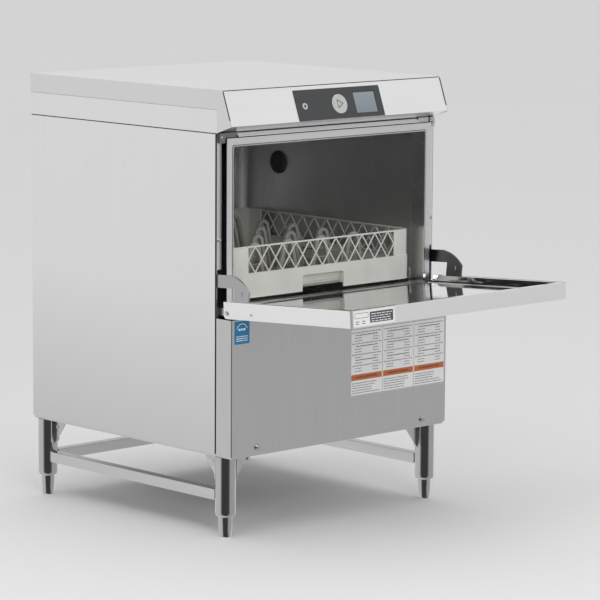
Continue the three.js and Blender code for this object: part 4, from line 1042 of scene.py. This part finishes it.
def arm_half(bm, axis, side, half):
    """One half of a wash arm along its axis, from beside the hub to its rounded end."""
    rings = []
    for i in range(ARM_STATIONS + 1):
        reach = ARM_START + (half - ARM_START) * i / ARM_STATIONS
        wide, thick = arm_section(reach, half)
        ring = []
        for across, up in ring_points(1, ARM_SIDES):
            y = wide * math.copysign(abs(across) ** 0.8, across)
            z = thick * math.copysign(abs(up) ** 0.65, up)
            ring.append(bm.verts.new(axis @ Vector((side * reach, y, z))))
        rings.append(ring)
    join_rings(bm, rings)


def wash_arm(node, body, flip):
    """Two flattened halves on a bored hub, with four slotted nozzles on each."""
    place = arm_place(node, flip)
    axis = standing(node, (place @ Vector((0, 0, ARM_AXIS))).z)
    bm, slot_shades = bmesh.new(), bmesh.new()
    for side in (-1, 1):
        arm_half(bm, axis, side, half_width(node) / MM)
    bore = ring_points(WASH_BORE, 48)
    band(bm, ring_points(28.6, 48), bore, 1, 15, place)
    band(bm, ring_points(19, 48), bore, 0, 18.8, place)
    for side in (-1, 1):
        for i in range(1, 5):
            x = side * (50 + i * 40)
            slot = round_rect(x - 9, x + 9, -2, 2, 1.9)
            band(bm, round_rect(x - 11, x + 11, -4.5, 4.5, 4.4), slot, 13.6, 16.4, place)
            # Painted shade: a dark fill stands for the shadow inside each slot's opening.
            prism(slot_shades, slot, 13.8, 15.2, place)
    piece = piece_of("spray_" + node, bm, body, "plain", 0.5)
    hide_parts(node)
    piece_of("slots_" + node, slot_shades, body, "rubber")


def rinse_arm(node, body, flip, turn):
    """Two rounded bars on a bored hub, with four jets on each."""
    place = arm_place(node, flip) @ Matrix.Rotation(math.radians(turn), 4, "Z")
    bm = bmesh.new()
    for side in (-1, 1):
        near, far = sorted((side * 10, side * 205))
        prism(bm, round_rect(near, far, -5.8, 5.8, 5.6), 2, 9, place)
    band(bm, ring_points(15, 40), ring_points(RINSE_BORE, 40), 0, 12, place)
    for side in (-1, 1):
        for i in range(1, 5):
            spot = place @ Matrix.Translation((side * i * 48, 0, 8.6))
            turned(bm, [(0, 0), (4.6, 0), (4.2, 1.7), (1.8, 2.3), (1.2, 0.9), (0, 0.9)], spot, 20)
    piece = piece_of("jets_" + node, bm, body, "plain", 0.8)
    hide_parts(node)


def spindle(node, flip):
    """The stepped post that carries a wash arm and a rinse arm."""
    low, high = corners_of(node)
    base = high.z - 22 * MM if flip else low.z + 22 * MM
    bm = bmesh.new()
    turned(bm, [(0, -21.9), (14.8, -21.9), (14.8, 0.3), (23.4, 0.3), (23.4, 3), (22.4, 4.2), (15.2, 8),
                (11, 11), (9.6, 13), (9.5, 33), (6, 33), (6, 47.6), (8.4, 47.8), (9, 48.6), (9, 50),
                (7.6, 50.9), (0, 51)], standing(node, base, flip), 48)
    piece = piece_of("post_" + node, bm, "machine", "plain")
    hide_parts(node)


def wall_fitting():
    """The round black inlet on the chamber's right wall."""
    centre = centre_of("wall_fitting")
    wall = corners_of("wall_fitting")[1].x - 14 * MM
    place = facing(Vector((wall, centre.y, centre.z)), LEFT) @ IN_MM
    bm = bmesh.new()
    turned(bm, [(0, -13.9), (15.6, -13.9), (15.6, 0.3), (25, 0.3), (25, 2.6), (24.2, 4), (21, 6.2),
                (19.6, 6.6), (17.8, 5.4), (16.6, 5.4), (15.2, 6.6), (13.6, 6), (12.6, 3.4), (8.4, 3.2),
                (8, 6), (7, 6.9), (3.4, 6.9), (3, 6.1), (0, 6.1)], place, 64)
    prism(bm, ring_points(24, 6), -12, -2.4, place)
    piece = piece_of("wall_inlet", bm, "machine", "panel_plastic")
    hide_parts("wall_fitting")


# ---- rear connections ----

def rear_fitting(node, name, profile, look, nut=None):
    """A turned fitting on the rear panel, all in mm, with a nut of (radius, low, high) if given."""
    centre = centre_of(node)
    place = facing(Vector((centre.x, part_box("rear_panel")[1][1], centre.z)), BACK) @ IN_MM
    bm = bmesh.new()
    turned(bm, profile, place, 56)
    if nut:
        radius, low, high = nut
        prism(bm, ring_points(radius, 6), low, high, place)
    piece = piece_of(name, bm, "machine", look, 0.2)
    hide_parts(node)


def thread(radius, depth, start, end, pitch):
    """Ridges of a thread along a fitting, as profile points."""
    points = []
    z = start
    while z + pitch <= end:
        points += [(radius - depth, z), (radius, z + pitch * 0.5)]
        z += pitch
    return points


def rear_fittings():
    rear_fitting("water_inlet", "inlet_stub", [
        (0, -39), (16.8, -39), (16.8, -2), (14, -1.7), (14, 0.3), (19, 2.4), (19, 7.4), (18.4, 8),
        *thread(13.2, 0.9, 8.2, 24, 1.8), (12.6, 26), (9.6, 26), (9.4, 10), (0, 10)], "brass")
    rear_fitting("drain_outlet", "drain_stub", [
        (0, -39), (23.6, -39), (23.6, -2), (20, -1.7), (20, 0.3), (24, 2.4), (24, 4.4), (23.4, 5),
        (17, 5.2), (17, 9), (18, 9.4), (17, 14), (18, 14.4), (17, 19), (18, 19.4), (17, 26), (16.4, 27),
        (14.6, 27), (14.4, 8), (0, 8)], "panel_plastic")
    rear_fitting("cable_gland", "gland_body", [
        (0, -11.9), (12, -11.9), (12, 7), (12.4, 7.2), (12.4, 14), (11.4, 16.5), (9, 19.4), (7, 20),
        (5.6, 19.6), (5.4, 12), (0, 12)], "rubber", nut=(14.9, 0.4, 7.4))


# ---- door, latches and seams ----

def latch_roller(side, name):
    """The door's roller catch, set in the latch."""
    place = facing(Vector((side * ROLLER_X, corners_of("latch_" + name)[0].y, ROLLER_Z)), FRONT) @ IN_MM
    bm = bmesh.new()
    turned(bm, [(0, -6), (4.3, -6), (4.8, -2), (4.6, -0.8), (3.4, -0.1), (2.2, -0.4), (0, -0.4)],
           place, 40)
    piece_of("roller_latch_" + name, bm, "machine", "bright")


def door_trim():
    """Pivot and side fasteners, and the two folded tabs on the open door's front lip."""
    for side, name in SIDES:
        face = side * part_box("door_skin")[1][0]
        for index, (y, z, radius) in enumerate(((-143.1, 455.9, 4.4), (-215, 459.6, 3.0))):
            spot = Vector((face, y * MM, z * MM))
            screw(f"door_fastener_{name}_{index}", spot, RIGHT * side, radius, 1.3, "door", "screw")
    low, high = span("door_skin", door_axes()[1])
    rise = (high - low) / MM
    for index, (x, wide) in enumerate(((196, 30), (268, 22))):
        bm = bmesh.new()
        block(bm, (-wide, rise - 0.2, -9), (wide, rise + 0.5, -0.8), door_edge_place(x * MM, 0))
        piece_of(f"door_tab_{index}", bm, "door", "bright", 0.3)


def bead(name, points, width):
    """A thin dark line along a seam, a painted shadow."""
    bm = bmesh.new()
    tube(bm, points, width / 2)
    piece_of(name, bm, "machine", "seam")


def panel_seam(side, name):
    """The shadow line down a side panel's front fold and along under the hood."""
    low, high = corners_of("side_panel_" + name)
    hood = corners_of("hood_cover")[0].z
    face = high.x if side > 0 else -low.x
    inner, outer = sorted((side * face, side * (face + SEAM_RAISE)))
    bm = bmesh.new()
    block(bm, (inner, low.y, low.z + 1 * MM), (outer, low.y + SEAM_WIDTH, hood - 0.2 * MM))
    block(bm, (inner, low.y + 1 * MM, hood - 2 * MM), (outer, high.y - 1 * MM, hood - 0.2 * MM))
    piece_of("panel_seam_" + name, bm, "machine", "seam")


def seams():
    """Dark shadow lines where folded panels meet."""
    low, high = corners_of("fascia_panel")
    place = fascia_place("start_button")
    out, up = place.col[2].to_3d(), place.col[1].to_3d()
    reach = span("fascia_panel", out)[1]
    bottom, top = span("fascia_panel", up)
    for side, name in SIDES:
        corner = out * (reach - 0.15 * MM) + RIGHT * side * (high.x + 0.3 * MM)
        bead("fascia_seam_" + name, (corner + up * (bottom + 12 * MM), corner + up * (top - 1 * MM)),
             2.4 * MM)
        panel_seam(side, name)
    line = out * (reach - 0.1 * MM) + up * (top + 0.9 * MM)
    bead("fascia_seam_top", (line + RIGHT * low.x, line + RIGHT * high.x), 1.5 * MM)


def doorway_bead():
    """A narrow raised bead and its shadow line round the chamber's doorway."""
    place = facing(Vector((0, corners_of("tub_front")[0].y, 0)), FRONT)
    for name, near, far, raised, look in (("bead", 0, 2.4, 0.5, "mirror"),
                                          ("shade", 2.4, 3.4, 0.1, "seam")):
        outer, inner = (round_rect(-DOORWAY_HALF - grow, DOORWAY_HALF + grow,
                                   DOORWAY_BOTTOM - grow, DOORWAY_TOP + grow, 5 * MM)
                        for grow in (far * MM, near * MM))
        bm = bmesh.new()
        band(bm, outer, inner, -0.1 * MM, raised * MM, place)
        piece_of("doorway_" + name, bm, "machine", look)


# ---- studio ----

def area_light(name, place, aim, size, power):
    light = bpy.data.lights.new(name, "AREA")
    light.shape = "RECTANGLE"
    light.size, light.size_y = size
    light.energy = power
    lamp = bpy.data.objects.new(name, light)
    lamp.location = place
    lamp.rotation_euler = (Vector(aim) - Vector(place)).to_track_quat("-Z", "Y").to_euler()
    bpy.context.collection.objects.link(lamp)


def floor_paint():
    """Pale paint that reflections look straight through, so that steel reflects the studio alone."""
    look = Look("floor_paint")
    haze = look.noise((0.5, 0.5, 0.5), detail=2)
    tone = look.blend(haze, (0.9, 0.9, 0.9), (0.92, 0.92, 0.92))
    material = look.done(tone, look.remap(haze, 0, 1, 0.8, 0.9))
    clear = look.add("BsdfTransparent")
    either = look.add("MixShader")
    look.link(look.add("LightPath").outputs["Is Glossy Ray"], either.inputs["Fac"])
    look.link(look.shader.outputs["BSDF"], either.inputs[1])
    look.link(clear.outputs["BSDF"], either.inputs[2])
    look.link(either.outputs["Shader"], look.tree.nodes["Material Output"].inputs["Surface"])
    return material


def floor():
    """A wide pale disc that is part of the studio, not of the machine."""
    bm = bmesh.new()
    prism(bm, ring_points(90, 96), -0.02, 0)
    mesh = bpy.data.meshes.new("floor")
    bm.to_mesh(mesh)
    bm.free()
    mesh.materials.append(floor_paint())
    slab = bpy.data.objects.new("floor", mesh)
    bpy.context.collection.objects.link(slab)


def sector(tree, below, heading, start, full, level):
    """Blends a grey level into the surround round a direction, by the cosine of the angle to it."""
    toward = tree.nodes.new("ShaderNodeVectorMath")
    toward.operation = "DOT_PRODUCT"
    toward.inputs[1].default_value = heading
    tree.links.new(tree.nodes["Direction"].outputs["Generated"], toward.inputs[0])
    share = tree.nodes.new("ShaderNodeMapRange")
    share.interpolation_type = "SMOOTHSTEP"
    share.inputs["From Min"].default_value = start
    share.inputs["From Max"].default_value = full
    tree.links.new(toward.outputs["Value"], share.inputs["Value"])
    mix = tree.nodes.new("ShaderNodeMix")
    tree.links.new(share.outputs["Result"], mix.inputs["Factor"])
    tree.links.new(below, mix.inputs[2])
    mix.inputs[3].default_value = level
    return mix.outputs[0]


def surround():
    """A soft pale room, darkest behind the viewer, with a duller wall low on the right."""
    world = bpy.data.worlds.new("surround")
    bpy.context.scene.world = world
    world.use_nodes = True
    tree = world.node_tree
    tree.nodes.new("ShaderNodeTexCoord").name = "Direction"
    pale = tree.nodes.new("ShaderNodeValue")
    pale.outputs[0].default_value = STUDIO_PALE
    azimuth = math.radians(VIEW_AZIMUTH)
    viewer = Vector((math.sin(azimuth), -math.cos(azimuth), 0))
    right = Vector((math.cos(azimuth), math.sin(azimuth), 0))
    level = sector(tree, pale.outputs[0], (right - UP * 0.9).normalized(), 0.55, 0.80, STUDIO_LOW_RIGHT)
    level = sector(tree, level, (-right - UP * 0.9).normalized(), 0.55, 0.80, STUDIO_LOW_LEFT)
    level = sector(tree, level, viewer, 0.45, 0.80, STUDIO_VIEWER_SIDE)
    background = tree.nodes["Background"]
    background.inputs["Color"].default_value = (1, 1, 1, 1)
    tree.links.new(level, background.inputs["Strength"])


def studio():
    floor()
    surround()
    area_light("key", (-3.2, -1.2, 3.6), (0, 0, 0.4), (2.4, 2.4), KEY_POWER)
    area_light("fill", (-2.2, -4.2, 2.4), (0, 0, 0.4), (2.0, 2.0), FILL_POWER)
    bpy.context.scene.view_settings.view_transform = "Standard"


def camera():
    azimuth = math.radians(VIEW_AZIMUTH)
    elevation = math.radians(VIEW_ELEVATION)
    away = Vector((math.sin(azimuth) * math.cos(elevation), -math.cos(azimuth) * math.cos(elevation),
                   math.sin(elevation)))
    data = bpy.data.cameras.new("camera")
    data.lens = VIEW_LENS
    data.sensor_width = 36
    data.clip_end = 300
    viewer = bpy.data.objects.new("camera", data)
    place = facing(VIEW_AIM + away * VIEW_DISTANCE, away)
    viewer.matrix_world = place @ Matrix.Rotation(math.radians(VIEW_ROLL), 4, "Z")
    bpy.context.collection.objects.link(viewer)
    bpy.context.scene.camera = viewer


# ---- the scene ----

camera()
studio()
dress_cad_nodes()
for spot, carrier in (("front_left", "foot_fl"), ("back_left", "foot_bl"),
                      ("front_right", "foot_fr"), ("back_right", "foot_br")):
    leg(spot)
    foot(spot, carrier)
panel_screws()
gusset_screws()
back_screws()
start_button()
power_button()
display_rim()
instruction_sheet()
blue_label()
data_plate()
rack_walls()
rack_lattice()
rack_grips()
rack_floor()
rack_fingers()
wash_arm("lower_wash_arm", "lower_wash", False)
wash_arm("upper_wash_arm", "upper_wash", True)
rinse_arm("lower_rinse_arm", "lower_rinse", False, 62)
rinse_arm("upper_rinse_arm", "upper_rinse", True, 14)
spindle("lower_spindle", False)
spindle("upper_spindle", True)
wall_fitting()
rear_fittings()
for sign, hand in SIDES:
    latch_roller(sign, hand)
door_trim()
seams()
doorway_bead()
